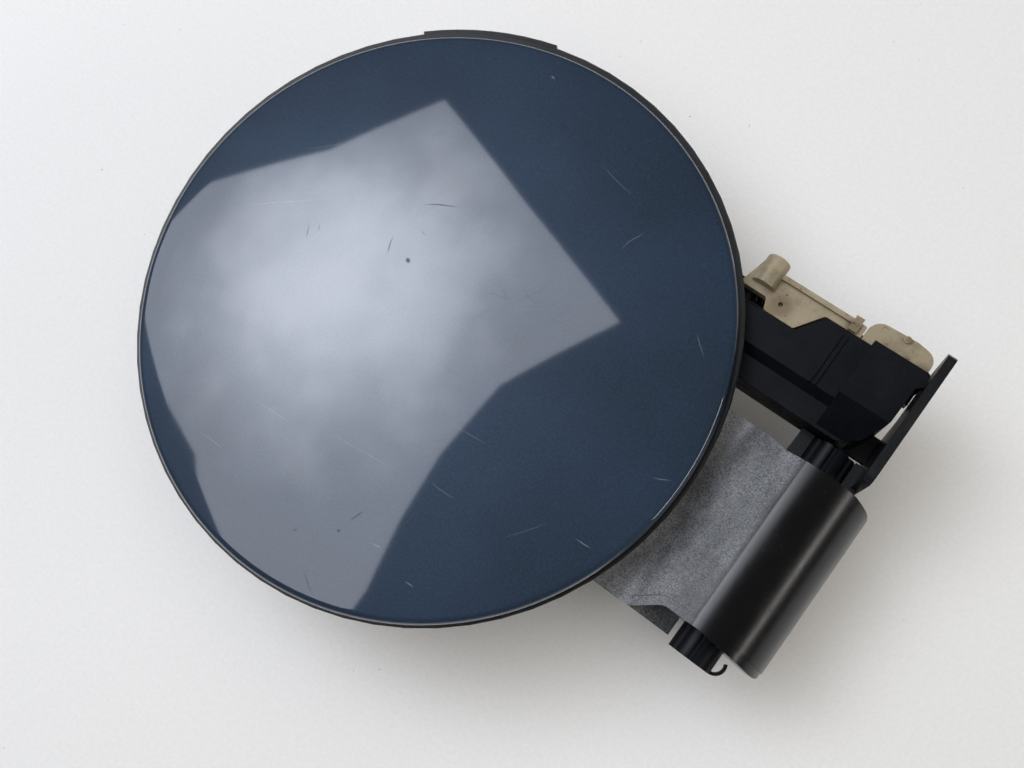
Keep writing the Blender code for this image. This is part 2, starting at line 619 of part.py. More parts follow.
def hinge_arm():
    """Gooseneck shell that ends in the hinge barrel."""
    roof = arm_roof()
    skirt = list(SKIRT) + [(SKIRT_PAD_REACH - PAD_REACH, SKIRT_PAD_HEIGHT), (-PAD_REACH, PAD_TOP - SKIRT_END)]
    deep = -3 * BARREL_RADIUS
    arm = prism("hinge_arm", roof + skirt, NECK_LOW - PAST, NECK_HIGH + PAST, "Y")
    boolean(arm, prism("plan", arm_plan(), deep, -deep), "INTERSECT")
    soften(arm, EDGE_HIGH, lambda edge: roof_side_edge(edge) and edge.verts[0].co.y > 0, 3)
    soften(arm, EDGE_LOW, lambda edge: roof_side_edge(edge) and edge.verts[0].co.y < 0)
    inside = offset_path(roof, -ARM_WALL)
    inside[0] = (-PAD_REACH + ARM_WALL, inside[0][1])
    inside += [(roof[-1][0], deep), (-PAD_REACH + ARM_WALL, deep)]
    hollow = prism("hollow", inside, NECK_LOW - PAST, NECK_HIGH + PAST, "Y")
    boolean(hollow, prism("plan", arm_plan(ARM_WALL), 2 * deep, -deep), "INTERSECT")
    cut(arm, hollow)
    spine = [point for point in roof if point[0] > -NECK_EDGE and point[1] > 0]
    for place in ARM_RIB_PLACES:
        outline = offset_path(spine, -ARM_WALL / 2) + offset_path(spine, -ARM_WALL - ARM_RIB_DEPTH)[::-1]
        join(arm, prism("rib", outline, place - RIB_WALL / 2, place + RIB_WALL / 2, "Y"))
    cut(arm, rod("bore", (0, BARREL_LOW - 2 * PAST, 0), (0, BARREL_HIGH + 2 * PAST, 0), SPINDLE_HOLE,
                 BORE_FACETS))
    ring_length = COLLAR_LENGTH + ARM_WALL / 2
    ring = [(SPINDLE_HOLE + TOUCH / 2, 0), (COLLAR_RADIUS, 0), (COLLAR_RADIUS, ring_length),
            (SPINDLE_HOLE + TOUCH / 2, ring_length)]
    join(arm, turned("collar", ring, (0, BARREL_LOW + ARM_WALL / 2, 0), BORE_FACETS, (0, 1, 0)),
         turned("collar", ring, (0, BARREL_HIGH - ARM_WALL / 2, 0), BORE_FACETS, (0, -1, 0)))
    join(arm, *arm_side_web())
    boss_radius = ARM_SCREW * PAN_HEAD + 3 * TOUCH
    for x, y in ARM_SCREW_PLACES:
        join(arm, upright("boss", x, y, PAD_TOP - ARM_BOSS_DROP, PAD_TOP - ARM_WALL / 2, boss_radius))
    below = PAD_TOP - 2 * ARM_BOSS_DROP
    for x, y in ARM_SCREW_PLACES:
        cut(arm, upright("hole", x, y, below, PAD_TOP + PAST, ARM_SCREW + TOUCH, SCREW_FACETS),
            upright("seat", x, y, below, ARM_SCREW_SEAT, ARM_SCREW * PAN_HEAD + TOUCH))
    return arm


def roof_side_edge(edge):
    """True for the edges between the arm's roof and its sides."""
    upper = [face.normal.z > -0.6 and abs(face.normal.y) < 0.3 for face in edge.link_faces]
    middle = (edge.verts[0].co + edge.verts[1].co) / 2
    return upper[0] != upper[1] and middle.x > -NECK_EDGE and (middle.z > 0 or middle.x > SPINDLE_RADIUS)


def arm_side_web():
    """Ledge and wall that fill the step between the neck's side and the barrel's end."""
    slope = [(-WEB_START, WEB_HIGH), (-WEB_REACH, WEB_LOW)]
    ledge = prism("ledge", slope + [(x, z - WEB_WALL) for x, z in reversed(slope)],
                  NECK_LOW + WEB_WALL / 2, BARREL_LOW + ARM_WALL / 2, "Y")
    cut(ledge, prism("plan", arm_plan(ARM_WALL / 2), -BARREL_RADIUS, BARREL_RADIUS))
    wall = prism("wall", slope + [(x, z - WEB_DROP) for x, z in reversed(slope)],
                 NECK_LOW + PANEL_DRAFT, NECK_LOW + WEB_WALL, "Y")
    return ledge, wall


# Screws

def pan_screw(name, seat, direction, shank, length, head_height):
    """Pan head screw: its head lies against the seat, its shank runs along the direction."""
    head = shank * PAN_HEAD
    profile = [(0, -head_height), (head * PAN_TOP, -head_height), (head, -head_height * PAN_SHOULDER),
               (head, 0), (shank, 0), (shank, length - shank), (0, length)]
    screw = turned(name, profile, seat, SCREW_FACETS, direction)
    top = Vector(seat) - Vector(direction) * head_height
    floor = top + Vector(direction) * head_height * SOCKET_DEPTH
    cut(screw, rod("socket", top - Vector(direction) * PAST, floor, shank * SOCKET, 6))
    return screw


def countersunk_screw(name, seat, direction, shank, length):
    """Countersunk screw whose flat head ends flush at the seat."""
    profile = [(0, 0), (shank * FLAT_HEAD, 0), (shank, shank * (FLAT_HEAD - 1)), (shank, length - shank),
               (0, length)]
    screw = turned(name, profile, seat, SCREW_FACETS, direction)
    floor = Vector(seat) + Vector(direction) * shank * SOCKET_DEPTH
    cut(screw, rod("socket", Vector(seat) - Vector(direction) * PAST, floor, shank * SOCKET, 6))
    return screw


# Spindle and closing spring

def spindle_outline():
    """Round section with lengthwise flutes."""
    points = []
    steps = FLUTES * FLUTE_FACETS
    for k in range(steps):
        angle = 2 * pi * (k + 0.5) / steps
        dip = max(0.0, cos(FLUTES * angle)) ** 2
        radius = SPINDLE_RADIUS - FLUTE_DEPTH * dip
        points.append((radius * cos(angle), radius * sin(angle)))
    return points


def hinge_spindle():
    """Fluted hollow spindle with a bent retaining tongue at its free end."""
    spindle = prism("hinge_spindle", spindle_outline(), SPINDLE_LOW, SPINDLE_HIGH, "Y")
    centre = (SPINDLE_RADIUS - SINK, SPINDLE_LOW + TONGUE_WALL + TONGUE_RADIUS)
    curl = arc(centre, TONGUE_RADIUS + TONGUE_WALL, TONGUE_START, TONGUE_STOP, 8)
    curl += arc(centre, TONGUE_RADIUS, TONGUE_STOP, TONGUE_START, 8)
    root = SPINDLE_RADIUS - TONGUE_ROOT
    curl += [(root, SPINDLE_LOW + TONGUE_WALL), (root, SPINDLE_LOW)]
    join(spindle, prism("tongue", curl, -TONGUE_HEIGHT / 2, TONGUE_HEIGHT / 2))
    cut(spindle, rod("bore", (0, SPINDLE_LOW - PAST, 0), (0, SPINDLE_HIGH + PAST, 0), SPINDLE_BORE))
    return spindle


def closing_spring():
    """Coiled wire round the spindle, with one leg up to the arm's roof."""
    first = BARREL_LOW + ARM_WALL + COLLAR_LENGTH + SPRING_WIRE / 2 + RUN
    steps = SPRING_TURNS * COIL_FACETS
    points = []
    for k in range(steps + 1):
        angle = 2 * pi * SPRING_TURNS * k / steps
        along = first + SPRING_PITCH * SPRING_TURNS * k / steps
        points.append((SPRING_COIL * cos(angle), along, SPRING_COIL * sin(angle)))
    x, y, _ = points[-1]
    rise = sqrt(SPRING_ROOM ** 2 - x ** 2)
    points += [(x, y + SPRING_WIRE / 8, rise / 2), (x, y + SPRING_WIRE / 8, rise)]
    return wire("closing_spring", points, SPRING_WIRE / 2)


# Bracket

def plate_hole(y, z, radius):
    """Cutter for a hole through the bracket's plate."""
    return rod("hole", (PLATE_INNER - PAST, y, z), (FACE + PAST, y, z), radius)


def mounting_bracket():
    """Upright plate with a foot, a saddle lug for the spindle and a shelf for the housing."""
    foot = [(FOOT_LOW, PLATE_BOTTOM, PLATE_CORNER), (HOUSING_NEAR, PLATE_BOTTOM, PLATE_CORNER),
            (HOUSING_NEAR, FOOT_TOP, 0), (LUG_LOW, FOOT_TOP, 0), (FOOT_LOW, FOOT_TOP, PLATE_CORNER)]
    bracket = prism("mounting_bracket", rounded(foot), PLATE_INNER, FACE, "X")
    join(bracket, bracket_wing())
    floor_far = HOUSING_NEAR - TOUCH
    floor = [(FACE - FOOT_DEPTH, FOOT_LOW, PLATE_CORNER), (FACE - SINK, FOOT_LOW, 0),
             (FACE - SINK, floor_far, 0), (FACE - FOOT_DEPTH, floor_far, PLATE_CORNER)]
    join(bracket, prism("floor", rounded(floor), PLATE_BOTTOM, PLATE_BOTTOM + PLATE_WALL))
    join(bracket, box("lug", (-LUG_REACH, LUG_LOW, PLATE_BOTTOM + SINK), (FACE - SINK, floor_far, LUG_TOP)))
    pocket_floor = PLATE_BOTTOM + PLATE_WALL + SINK
    cut(bracket, box("pocket", (LUG_WALL - LUG_REACH, LUG_LOW + PLATE_WALL, pocket_floor),
                     (PLATE_INNER - SINK, HOUSING_NEAR + PAST, -SADDLE - SADDLE_WALL)))
    join(bracket, bracket_shelf())
    cut(bracket, rod("saddle", (0, LUG_LOW - PAST, 0), (0, SPINDLE_HIGH + TOUCH, 0), SADDLE, BORE_FACETS))
    foot_inner = PLATE_BOTTOM + PLATE_WALL - SINK
    gusset = [(PLATE_INNER + SINK, FOOT_TOP - PLATE_WALL), (PLATE_INNER - GUSSET_REACH, foot_inner),
              (PLATE_INNER + SINK, foot_inner)]
    for y in (-MOUNT_HOLE_PLACE / 2, MOUNT_HOLE_PLACE / 2):
        join(bracket, prism("gusset", gusset, y - RIB_WALL / 2, y + RIB_WALL / 2, "Y"))
    for y in (-MOUNT_HOLE_PLACE, MOUNT_HOLE_PLACE):
        cut(bracket, plate_hole(y, -AXIS_ABOVE_MOUNT, MOUNT_HOLE))
    x, y = SHELF_SCREW_PLACE
    cut(bracket, upright("hole", x, y, SHELF_TOP - SHELF_WALL - PAST, SHELF_TOP + PAST,
                         BRACKET_SCREW + TOUCH))
    sink = BRACKET_SCREW * FLAT_HEAD + 3 * TOUCH
    y, z = WING_SCREW_PLACE, WING_SCREW_HEIGHT
    cut(bracket, plate_hole(y, z, BRACKET_SCREW + TOUCH),
        rod("sink", (FACE + SINK, y, z), (FACE - sink + TOUCH, y, z), sink + SINK, end_radius=TOUCH))
    return bracket


def bracket_wing():
    """Upper part of the plate, which covers the housing's end."""
    outline = [(WING_START, WING_ROOT, 0), (HOUSING_NEAR, WING_ROOT, 0),
               (HOUSING_NEAR + WING_HAUNCH, WING_UNDER - WING_DROP, 0.005),
               (HOUSING_NEAR + WING_WAIST, WING_UNDER, 0.004),
               (WING_TIP - WING_NOSE, WING_UNDER + WING_RISE, 0.004),
               (WING_TIP, WING_TOP - PLATE_CORNER, 0.0015),
               (WING_TIP - PLATE_CORNER / 2, WING_TOP, 0.001),
               (WING_START, WING_TOP - 2 * SINK, PLATE_CORNER)]
    return prism("wing", rounded(outline), PLATE_INNER, FACE, "X")


def bracket_shelf():
    """Shelf on the lug that the housing stands on, with a flange to the plate."""
    near = HOUSING_NEAR - HOUSING_WALL
    flange = HOUSING_NEAR + SHELF_FLANGE
    flange_end = HOUSING_NEAR + SHELF_FLANGE_END
    outline = [(-LUG_REACH, near), (SHELF_FREE, near), (SHELF_FREE, flange), (PLATE_INNER + SINK, flange),
               (PLATE_INNER + SINK, flange_end), (SHELF_FREE, flange_end),
               (SHELF_FREE, HOUSING_NEAR + SHELF_LENGTH), (-LUG_REACH, HOUSING_NEAR + SHELF_LENGTH)]
    return prism("shelf", outline, SHELF_TOP - SHELF_WALL, SHELF_TOP)


# Lock housing

def housing_right_side():
    """The housing's outline beside the bracket's wing, from the arm side up."""
    return [(HOUSING_RIGHT - inset, HOUSING_NEAR + along, radius) for inset, along, radius in HOUSING_CURVE]


def rail_left_end():
    """The rail's far edge and its slanted left end, as outline corners."""
    return [(HOUSING_RIGHT, HOUSING_FAR, BAR_CORNER), (POST_PLACE - RAIL_END, HOUSING_FAR, HOUSING_WALL),
            (POST_PLACE - RAIL_END - RAIL_NOTCH, HOUSING_FAR - RAIL_NOTCH_DEPTH, HOUSING_WALL)]


def housing_base():
    """Tray of the housing, with the rail that carries the slide."""
    outline = [(HOUSING_LEFT, HOUSING_NEAR, HOUSING_CORNER)] + housing_right_side() + rail_left_end()
    outline += [(HOUSING_LEFT, COVER_FAR - HOUSING_CORNER, HOUSING_CORNER)]
    base = prism("housing_base", rounded(outline), HOUSING_BOTTOM, HOUSING_SPLIT)
    rail = [(POST_PLACE - RAIL_END - HOUSING_WALL, COVER_FAR + TOUCH, 0),
            (HOUSING_RIGHT, COVER_FAR + TOUCH, 0)]
    join(base, prism("rail", rounded(rail + rail_left_end()), HOUSING_SPLIT - SINK, RAIL_TOP))
    cut(base, cover_keep_out())
    tray_right = HOUSING_RIGHT - HOUSING_CURVE[0][0]
    cut(base, box("tray", (HOUSING_LEFT + HOUSING_WALL, HOUSING_NEAR + HOUSING_WALL, HOUSING_FLOOR),
                  (tray_right, COVER_FAR - HOUSING_WALL / 2, HOUSING_SPLIT + SINK)))
    boss_radius = HOUSING_SCREW * PAN_HEAD + SINK
    for x, y in HOUSING_SCREW_PLACES + [SHELF_SCREW_PLACE]:
        join(base, upright("boss", x, y, HOUSING_FLOOR - SINK, HOUSING_SPLIT, boss_radius))
    low, high = HOUSING_BOTTOM - PAST, HOUSING_SPLIT + PAST
    for x, y in HOUSING_SCREW_PLACES:
        cut(base, upright("hole", x, y, low, high, HOUSING_SCREW + TOUCH, SCREW_FACETS),
            upright("seat", x, y, low, HOUSING_SCREW_SEAT, HOUSING_SCREW * PAN_HEAD + TOUCH))
    x, y = SHELF_SCREW_PLACE
    cut(base, upright("hole", x, y, low, high, BRACKET_SCREW + TOUCH, SCREW_FACETS))
    half = PEG_SIZE / 2 + RUN + TOUCH
    cut(base, box("spring_channel", (CHANNEL_LEFT, SPRING_LINE - half, RAIL_TOP - PEG_DEPTH - 2 * RUN),
                  (PEG_PLACE + half, SPRING_LINE + half, RAIL_TOP + PAST)))
    return base


def cover_outline():
    """The cover's outline from above, which leaves the slide free."""
    outline = [(HOUSING_LEFT, HOUSING_NEAR, HOUSING_CORNER)] + housing_right_side()
    outline += [(HOUSING_RIGHT, BAR_NEAR - TOUCH, BAR_CORNER), (SLANT_END, BAR_NEAR - TOUCH, BAR_CORNER),
                (SLANT_START, COVER_FAR, BAR_CORNER),
                (HOUSING_LEFT + COVER_LEFT_CUT, COVER_FAR, HOUSING_WALL),
                (HOUSING_LEFT, COVER_FAR - COVER_LEFT_DEPTH, HOUSING_CORNER)]
    return rounded(outline)


def cover_keep_out():
    """Room that the base leaves for the cover's deeper part beside the bar."""
    inside, right = COVER_FAR - 2 * SINK, GUIDE_LEFT - RUN + TOUCH
    outline = [(SLANT_START - RUN, inside), (SLANT_START, COVER_FAR), (SLANT_END, BAR_NEAR),
               (right, BAR_NEAR), (right, inside)]
    return prism("keep_out", outline, HOUSING_SPLIT, RAIL_TOP + PAST)


def housing_cover():
    """Stepped lid of the housing, with the raised block over the guide."""
    cover = prism("housing_cover", cover_outline(), COVER_BOTTOM, BLOCK_TOP)
    near, far, above = HOUSING_NEAR - PAST, HOUSING_FAR + PAST, BLOCK_TOP + PAST
    plate = [(near, COVER_LOW_TOP), (COVER_STEP, COVER_LOW_TOP), (COVER_STEP + COVER_RISE, COVER_MID_TOP),
             (far, COVER_MID_TOP), (far, above), (near, above)]
    slope = [(near, COVER_LOW_TOP), (HOUSING_NEAR + 2 * SINK, COVER_LOW_TOP), (BLOCK_NEAR, BLOCK_TOP),
             (BLOCK_NEAR, above), (near, above)]
    cut(cover, prism("plate", plate, HOUSING_LEFT - PAST, BLOCK_LEFT, "X"),
        prism("slope", slope, BLOCK_LEFT - PAST, HOUSING_RIGHT + PAST, "X"))
    soften(cover, BLOCK_SOFT, lambda edge: min(v.co.z for v in edge.verts) > BLOCK_TOP - SINK, 3)
    soften(cover, COVER_CHAMFER, cover_far_edge, 1)
    for x in RIDGE_PLACES:
        join(cover, box("bead", (x - RIDGE_WIDTH / 2, COVER_STEP + COVER_RISE, COVER_MID_TOP - SINK),
                        (x + RIDGE_WIDTH / 2, BAR_NEAR - RIDGE_SETBACK, COVER_MID_TOP + RIDGE_HEIGHT)))
    cut(cover, *cover_rooms())
    for x, y in HOUSING_SCREW_PLACES:
        cut(cover, upright("hole", x, y, COVER_BOTTOM - PAST, HOUSING_SCREW_TIP + TOUCH,
                           HOUSING_SCREW + TOUCH, SCREW_FACETS))
    x, y = SHELF_SCREW_PLACE
    cut(cover, upright("hole", x, y, COVER_BOTTOM - PAST, HOUSING_SCREW_TIP + TOUCH, BRACKET_SCREW + TOUCH,
                       SCREW_FACETS))
    y, z = WING_SCREW_PLACE, WING_SCREW_HEIGHT
    cut(cover, rod("hole", (HOUSING_RIGHT + PAST, y, z), (WING_SCREW_TIP - TOUCH, y, z),
                   BRACKET_SCREW + TOUCH, SCREW_FACETS))
    return cover


def cover_far_edge(edge):
    """True for the plate's outer edge beside the slide."""
    heights = [v.co.z for v in edge.verts]
    middle = (edge.verts[0].co + edge.verts[1].co) / 2
    on_top = max(heights) < COVER_MID_TOP + SINK and min(heights) > COVER_MID_TOP - SINK
    beside = middle.y > COVER_FAR - HOUSING_CORNER and middle.x < BLOCK_LEFT - RUN
    return on_top and beside and edge.is_convex


def cover_rooms():
    """Hollows under the cover: over the rail, round the guide and inside its two halves."""
    low, wide, far = COVER_BOTTOM - PAST, HOUSING_RIGHT + PAST, HOUSING_FAR + PAST
    rail = box("rail_room", (GUIDE_LEFT - RUN, COVER_FAR, low), (wide, far, RAIL_TOP + TOUCH))
    guide = box("guide_room", (GUIDE_LEFT - TOUCH, GUIDE_NEAR - TOUCH, low),
                (GUIDE_RIGHT + TOUCH, far, GUIDE_TOP + TOUCH))
    step = COVER_STEP + COVER_RISE + HOUSING_WALL / 2
    left = box("left_room", (HOUSING_LEFT + 2 * HOUSING_WALL, step, low),
               (SLANT_END, COVER_FAR - HOUSING_WALL, COVER_MID_TOP - HOUSING_WALL))
    block = box("block_room", (BLOCK_LEFT + HOUSING_WALL, BLOCK_NEAR + HOUSING_WALL, low),
                (HOUSING_RIGHT - BLOCK_ROOM_SETBACK, COVER_FAR - HOUSING_WALL / 2, BLOCK_TOP - HOUSING_WALL))
    return rail, guide, left, block


# Slide and guide

def lock_slide():
    """Nylon slide: a bar with a lug, a round post, a step and a drive peg."""
    foot = SPRING_LINE - TOUCH
    plan = [(POST_PLACE - FOOT_LEFT, foot, 0), (POST_PLACE + FOOT_RIGHT, foot, BAR_CORNER),
            (POST_PLACE + FOOT_RIGHT + FOOT_SLOPE, COVER_FAR + TOUCH, BAR_CORNER),
            (SLANT_START - STOP_GAP, COVER_FAR + TOUCH, SINK), (SLANT_END - STOP_GAP, BAR_NEAR, BAR_CORNER),
            (BAR_END, BAR_NEAR, 0), (BAR_END, BAR_FAR, SINK), (POST_PLACE + POST_RADIUS, BAR_FAR, 0),
            (POST_PLACE - POST_RADIUS, BAR_FAR + 2 * SINK, 0)]
    slide = prism("lock_slide", rounded(plan), SLIDE_BOTTOM, SLIDE_TOP)
    step_end = BAR_END - BAR_STEP_END
    lip = box("lip", (POST_PLACE + SINK, BAR_FAR - BAR_LIP_WIDTH, SLIDE_TOP - SINK),
              (step_end - SINK, BAR_FAR - PANEL_DRAFT, SLIDE_TOP + BAR_LIP_HEIGHT))
    step = box("step", (step_end - BAR_STEP_LENGTH, BAR_NEAR + PANEL_DRAFT, SLIDE_BOTTOM + PANEL_DRAFT),
               (step_end, BAR_FAR + BAR_STEP_PROUD, SLIDE_TOP + BAR_STEP_PROUD))
    centre = SLIDE_BOTTOM + POST_RADIUS
    post = rod("post", (POST_PLACE, BAR_NEAR - POST_ROOT, centre), (POST_PLACE, POST_END, centre),
               POST_RADIUS)
    soften(post, POST_SOFT, lambda edge: min(v.co.y for v in edge.verts) > POST_END - SINK)
    peg = box("peg", (PEG_LEFT, SPRING_LINE - PEG_SIZE / 2, RAIL_TOP - PEG_DEPTH),
              (PEG_LEFT + PEG_SIZE, SPRING_LINE + PEG_SIZE / 2, SLIDE_BOTTOM + SINK))
    join(slide, lip, post, step, peg)
    cut(slide, upright("pin_mark", POST_PLACE + PIN_MARK_PLACE, SPRING_LINE, (SLIDE_BOTTOM + SLIDE_TOP) / 2,
                       SLIDE_TOP + PAST, PIN_MARK, SCREW_FACETS))
    return slide


def slide_guide():
    """Rounded nylon guide clamped between rail and cover."""
    outline = [(GUIDE_LEFT, GUIDE_NEAR, 0), (GUIDE_RIGHT, GUIDE_NEAR, 0),
               (GUIDE_RIGHT, GUIDE_FAR - 2 * SINK, GUIDE_CORNER),
               (GUIDE_RIGHT - 2 * GUIDE_SETBACK, GUIDE_FAR, GUIDE_CORNER),
               (GUIDE_LEFT, GUIDE_FAR - SINK, GUIDE_CORNER)]
    guide = prism("slide_guide", rounded(outline, 5), SLIDE_BOTTOM, GUIDE_TOP)
    join(guide, upright("nub", NUB_PLACE, GUIDE_FAR - NUB_RADIUS, SLIDE_BOTTOM + PANEL_DRAFT,
                        GUIDE_TOP + SINK, NUB_RADIUS, SCREW_FACETS))
    cut(guide, upright("gate_mark", GATE_MARK_PLACE, (BAR_FAR + GUIDE_FAR) / 2, GUIDE_TOP - TOUCH,
                       GUIDE_TOP + PAST, GATE_MARK))
    return guide


def slide_spring():
    """Small coil spring between the base's wall and the slide's peg."""
    start = CHANNEL_LEFT + RETURN_WIRE
    stop = PEG_LEFT - RETURN_WIRE
    height = RAIL_TOP - RETURN_DEPTH
    steps = RETURN_TURNS * COIL_FACETS
    points = []
    for k in range(steps + 1):
        angle = 2 * pi * RETURN_TURNS * k / steps
        points.append((start + (stop - start) * k / steps, SPRING_LINE + RETURN_RADIUS * cos(angle),
                       height + RETURN_RADIUS * sin(angle)))
    return wire("slide_spring", points, RETURN_WIRE / 2, resolution=0)


# Assembly

def add_flap(datum, paint, black, rubber, steel, zinc):
    """Everything that swings: skin, panel, arm, screws, buffers and closing spring."""
    finish(flap_skin(), paint, datum)
    finish(inner_panel(), black, datum)
    finish(hinge_arm(), black, datum)
    seat = ARM_SCREW_SEAT - TOUCH
    for index, (x, y) in enumerate(ARM_SCREW_PLACES, 1):
        finish(pan_screw("arm_screw_%d" % index, (x, y, seat), (0, 0, 1), ARM_SCREW, ARM_SCREW_TIP - seat,
                         ARM_HEAD), zinc, datum)
    for index, (x, y) in enumerate(buffer_places(), 1):
        finish(stop_buffer(index, x, y), rubber, datum)
    finish(closing_spring(), steel, datum)


def add_bracket(datum, dark, nylon, steel, zinc):
    """Everything that is fixed: spindle, bracket, housing, its screws, guide and slide spring."""
    finish(hinge_spindle(), dark, datum)
    finish(mounting_bracket(), dark, datum)
    finish(housing_base(), dark, datum)
    finish(housing_cover(), dark, datum)
    seat = HOUSING_SCREW_SEAT - TOUCH
    for index, (x, y) in enumerate(HOUSING_SCREW_PLACES, 1):
        finish(pan_screw("housing_screw_%d" % index, (x, y, seat), (0, 0, 1), HOUSING_SCREW,
                         HOUSING_SCREW_TIP - seat, HOUSING_HEAD), zinc, datum)
    x, y = SHELF_SCREW_PLACE
    seat = SHELF_TOP - SHELF_WALL - TOUCH
    finish(pan_screw("shelf_screw", (x, y, seat), (0, 0, 1), BRACKET_SCREW, HOUSING_SCREW_TIP - seat,
                     BRACKET_HEAD), zinc, datum)
    seat = (FACE - TOUCH, WING_SCREW_PLACE, WING_SCREW_HEIGHT)
    finish(countersunk_screw("wing_screw", seat, (-1, 0, 0), BRACKET_SCREW, seat[0] - WING_SCREW_TIP), zinc,
           datum)
    finish(slide_guide(), nylon, datum)
    finish(slide_spring(), steel, datum)


def build():
    """Make every piece and hang it on its datum at the hinge axis."""
    for obj in list(bpy.data.objects):
        bpy.data.objects.remove(obj)
    datums = []
    for name in ("flap_hinge_datum", "bracket_datum", "slide_datum"):
        datum = bpy.data.objects.new(name, None)
        datum.location = (-AXIS_FROM_FACE, 0, AXIS_ABOVE_MOUNT)
        bpy.context.scene.collection.objects.link(datum)
        datums.append(datum)
    flap, fixed, moving = datums
    paint = material("dark_blue_paint", (0.012, 0.030, 0.058), 0.25, 0.4)
    black = material("black_moulding", (0.012, 0.012, 0.013), 0.5)
    dark = material("black_housing", (0.010, 0.010, 0.012), 0.45)
    nylon = material("natural_nylon", (0.55, 0.50, 0.40), 0.45)
    rubber = material("black_rubber", (0.010, 0.010, 0.010), 0.8)
    steel = material("spring_steel", (0.25, 0.25, 0.26), 0.35, 1.0)
    zinc = material("plated_screw", (0.50, 0.48, 0.42), 0.35, 1.0)
    add_flap(flap, paint, black, rubber, steel, zinc)
    add_bracket(fixed, dark, nylon, steel, zinc)
    finish(lock_slide(), nylon, moving)


build()
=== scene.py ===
"""Looks of the fuel filler flap: its detailed pieces, finishes, table, light and camera.

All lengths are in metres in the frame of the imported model. The flap lies level with its
painted side up, the hinge axis runs along Y, and the origin is on the bracket's face.
"""

import logging
from dataclasses import dataclass, field
from enum import Enum
from math import cos, pi, radians, sin, sqrt, tan
from typing import Callable, Sequence

import bpy
from mathutils import Matrix, Vector

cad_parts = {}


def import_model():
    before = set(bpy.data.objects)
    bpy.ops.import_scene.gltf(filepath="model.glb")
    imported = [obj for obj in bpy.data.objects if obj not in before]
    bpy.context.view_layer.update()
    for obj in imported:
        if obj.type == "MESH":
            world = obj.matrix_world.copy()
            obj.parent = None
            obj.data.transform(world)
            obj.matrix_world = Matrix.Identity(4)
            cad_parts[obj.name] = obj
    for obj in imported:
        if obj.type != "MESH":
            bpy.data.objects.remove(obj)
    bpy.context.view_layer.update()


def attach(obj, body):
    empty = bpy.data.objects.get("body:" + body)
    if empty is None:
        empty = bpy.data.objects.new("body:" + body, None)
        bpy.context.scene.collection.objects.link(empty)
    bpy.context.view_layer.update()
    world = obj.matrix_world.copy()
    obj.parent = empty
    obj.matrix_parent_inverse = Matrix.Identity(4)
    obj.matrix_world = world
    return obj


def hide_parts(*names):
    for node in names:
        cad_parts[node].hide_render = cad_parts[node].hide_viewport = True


LOG = logging.getLogger("filler_flap")
Point = tuple[float, float]
Point3 = tuple[float, float, float]

MM = 0.001
WELD = 2e-6               # places nearer than this are one
PAST = 3 * MM             # how far a cutter stands past what it cuts
SMOOTH_ANGLE = 40.0       # degrees, edges sharper than this stay sharp in the shading
UPRIGHT = (0.0, 0.0, 1.0)
HINGE_AXIS = Vector((-0.011, 0.0, 0.026))
FLAP_CENTRE = Vector((-0.119, 0.0, 0.048))
FLAP_RADIUS = 82.5 * MM
FLAP_CROWN = 4.2 * MM     # how far the skin's middle stands above its rim


class Slot(Enum):
    """The record's material slots."""

    PAINT = "paint"
    MOULDING = "black_moulding"
    HOUSING = "housing"
    NYLON = "nylon"
    RUBBER = "rubber"
    SPRING = "spring_steel"
    SCREW = "screw"


class Body(Enum):
    """The bodies that the pieces ride on."""

    BRACKET = "bracket"
    FLAP = "flap"
    SLIDE = "slide"


class Blend(Enum):
    """Ways to combine two masks."""

    STRONGER = "MAXIMUM"
    PRODUCT = "MULTIPLY"
    SUM = "ADD"


class Cut(Enum):
    """Ways to combine two solids."""

    WITH = "UNION"
    AWAY = "DIFFERENCE"
    BOTH = "INTERSECT"


def linear(hex_colour: str, alpha: float = 1.0) -> tuple[float, float, float, float]:
    """Turn an sRGB hex colour into linear light.

    Args:
        hex_colour: Six hex digits with a leading hash.
        alpha: The fourth value of the result.

    Returns:
        Red, green, blue and alpha for a shader socket.
    """
    values = []
    for start in (1, 3, 5):
        channel = int(hex_colour[start:start + 2], 16) / 255
        low = channel <= 0.04045
        values.append(channel / 12.92 if low else ((channel + 0.055) / 1.055) ** 2.4)
    return (values[0], values[1], values[2], alpha)


def rounded(corners: Sequence[tuple[float, float, float]], steps: int = 6) -> list[Point]:
    """Round an outline's corners.

    Args:
        corners: Each corner's two places and its radius, where 0 keeps it sharp.
        steps: Number of faces round each corner.

    Returns:
        The outline's places.
    """
    places: list[Point] = []
    count = len(corners)
    for index, (a, b, radius) in enumerate(corners):
        here = Vector((a, b))
        if radius <= 0:
            places.append((a, b))
            continue
        back = Vector(corners[index - 1][:2]) - here
        ahead = Vector(corners[(index + 1) % count][:2]) - here
        half = back.angle(ahead) / 2
        reach = min(radius / tan(half), 0.48 * back.length, 0.48 * ahead.length)
        towards = (back.normalized() + ahead.normalized()).normalized()
        hub = here + towards * (reach * tan(half) / sin(half))
        start = here + back.normalized() * reach - hub
        turn = start.angle_signed(here + ahead.normalized() * reach - hub)
        for step in range(steps + 1):
            spot = hub + Matrix.Rotation(-turn * step / steps, 2) @ start
            places.append((spot.x, spot.y))
    return places


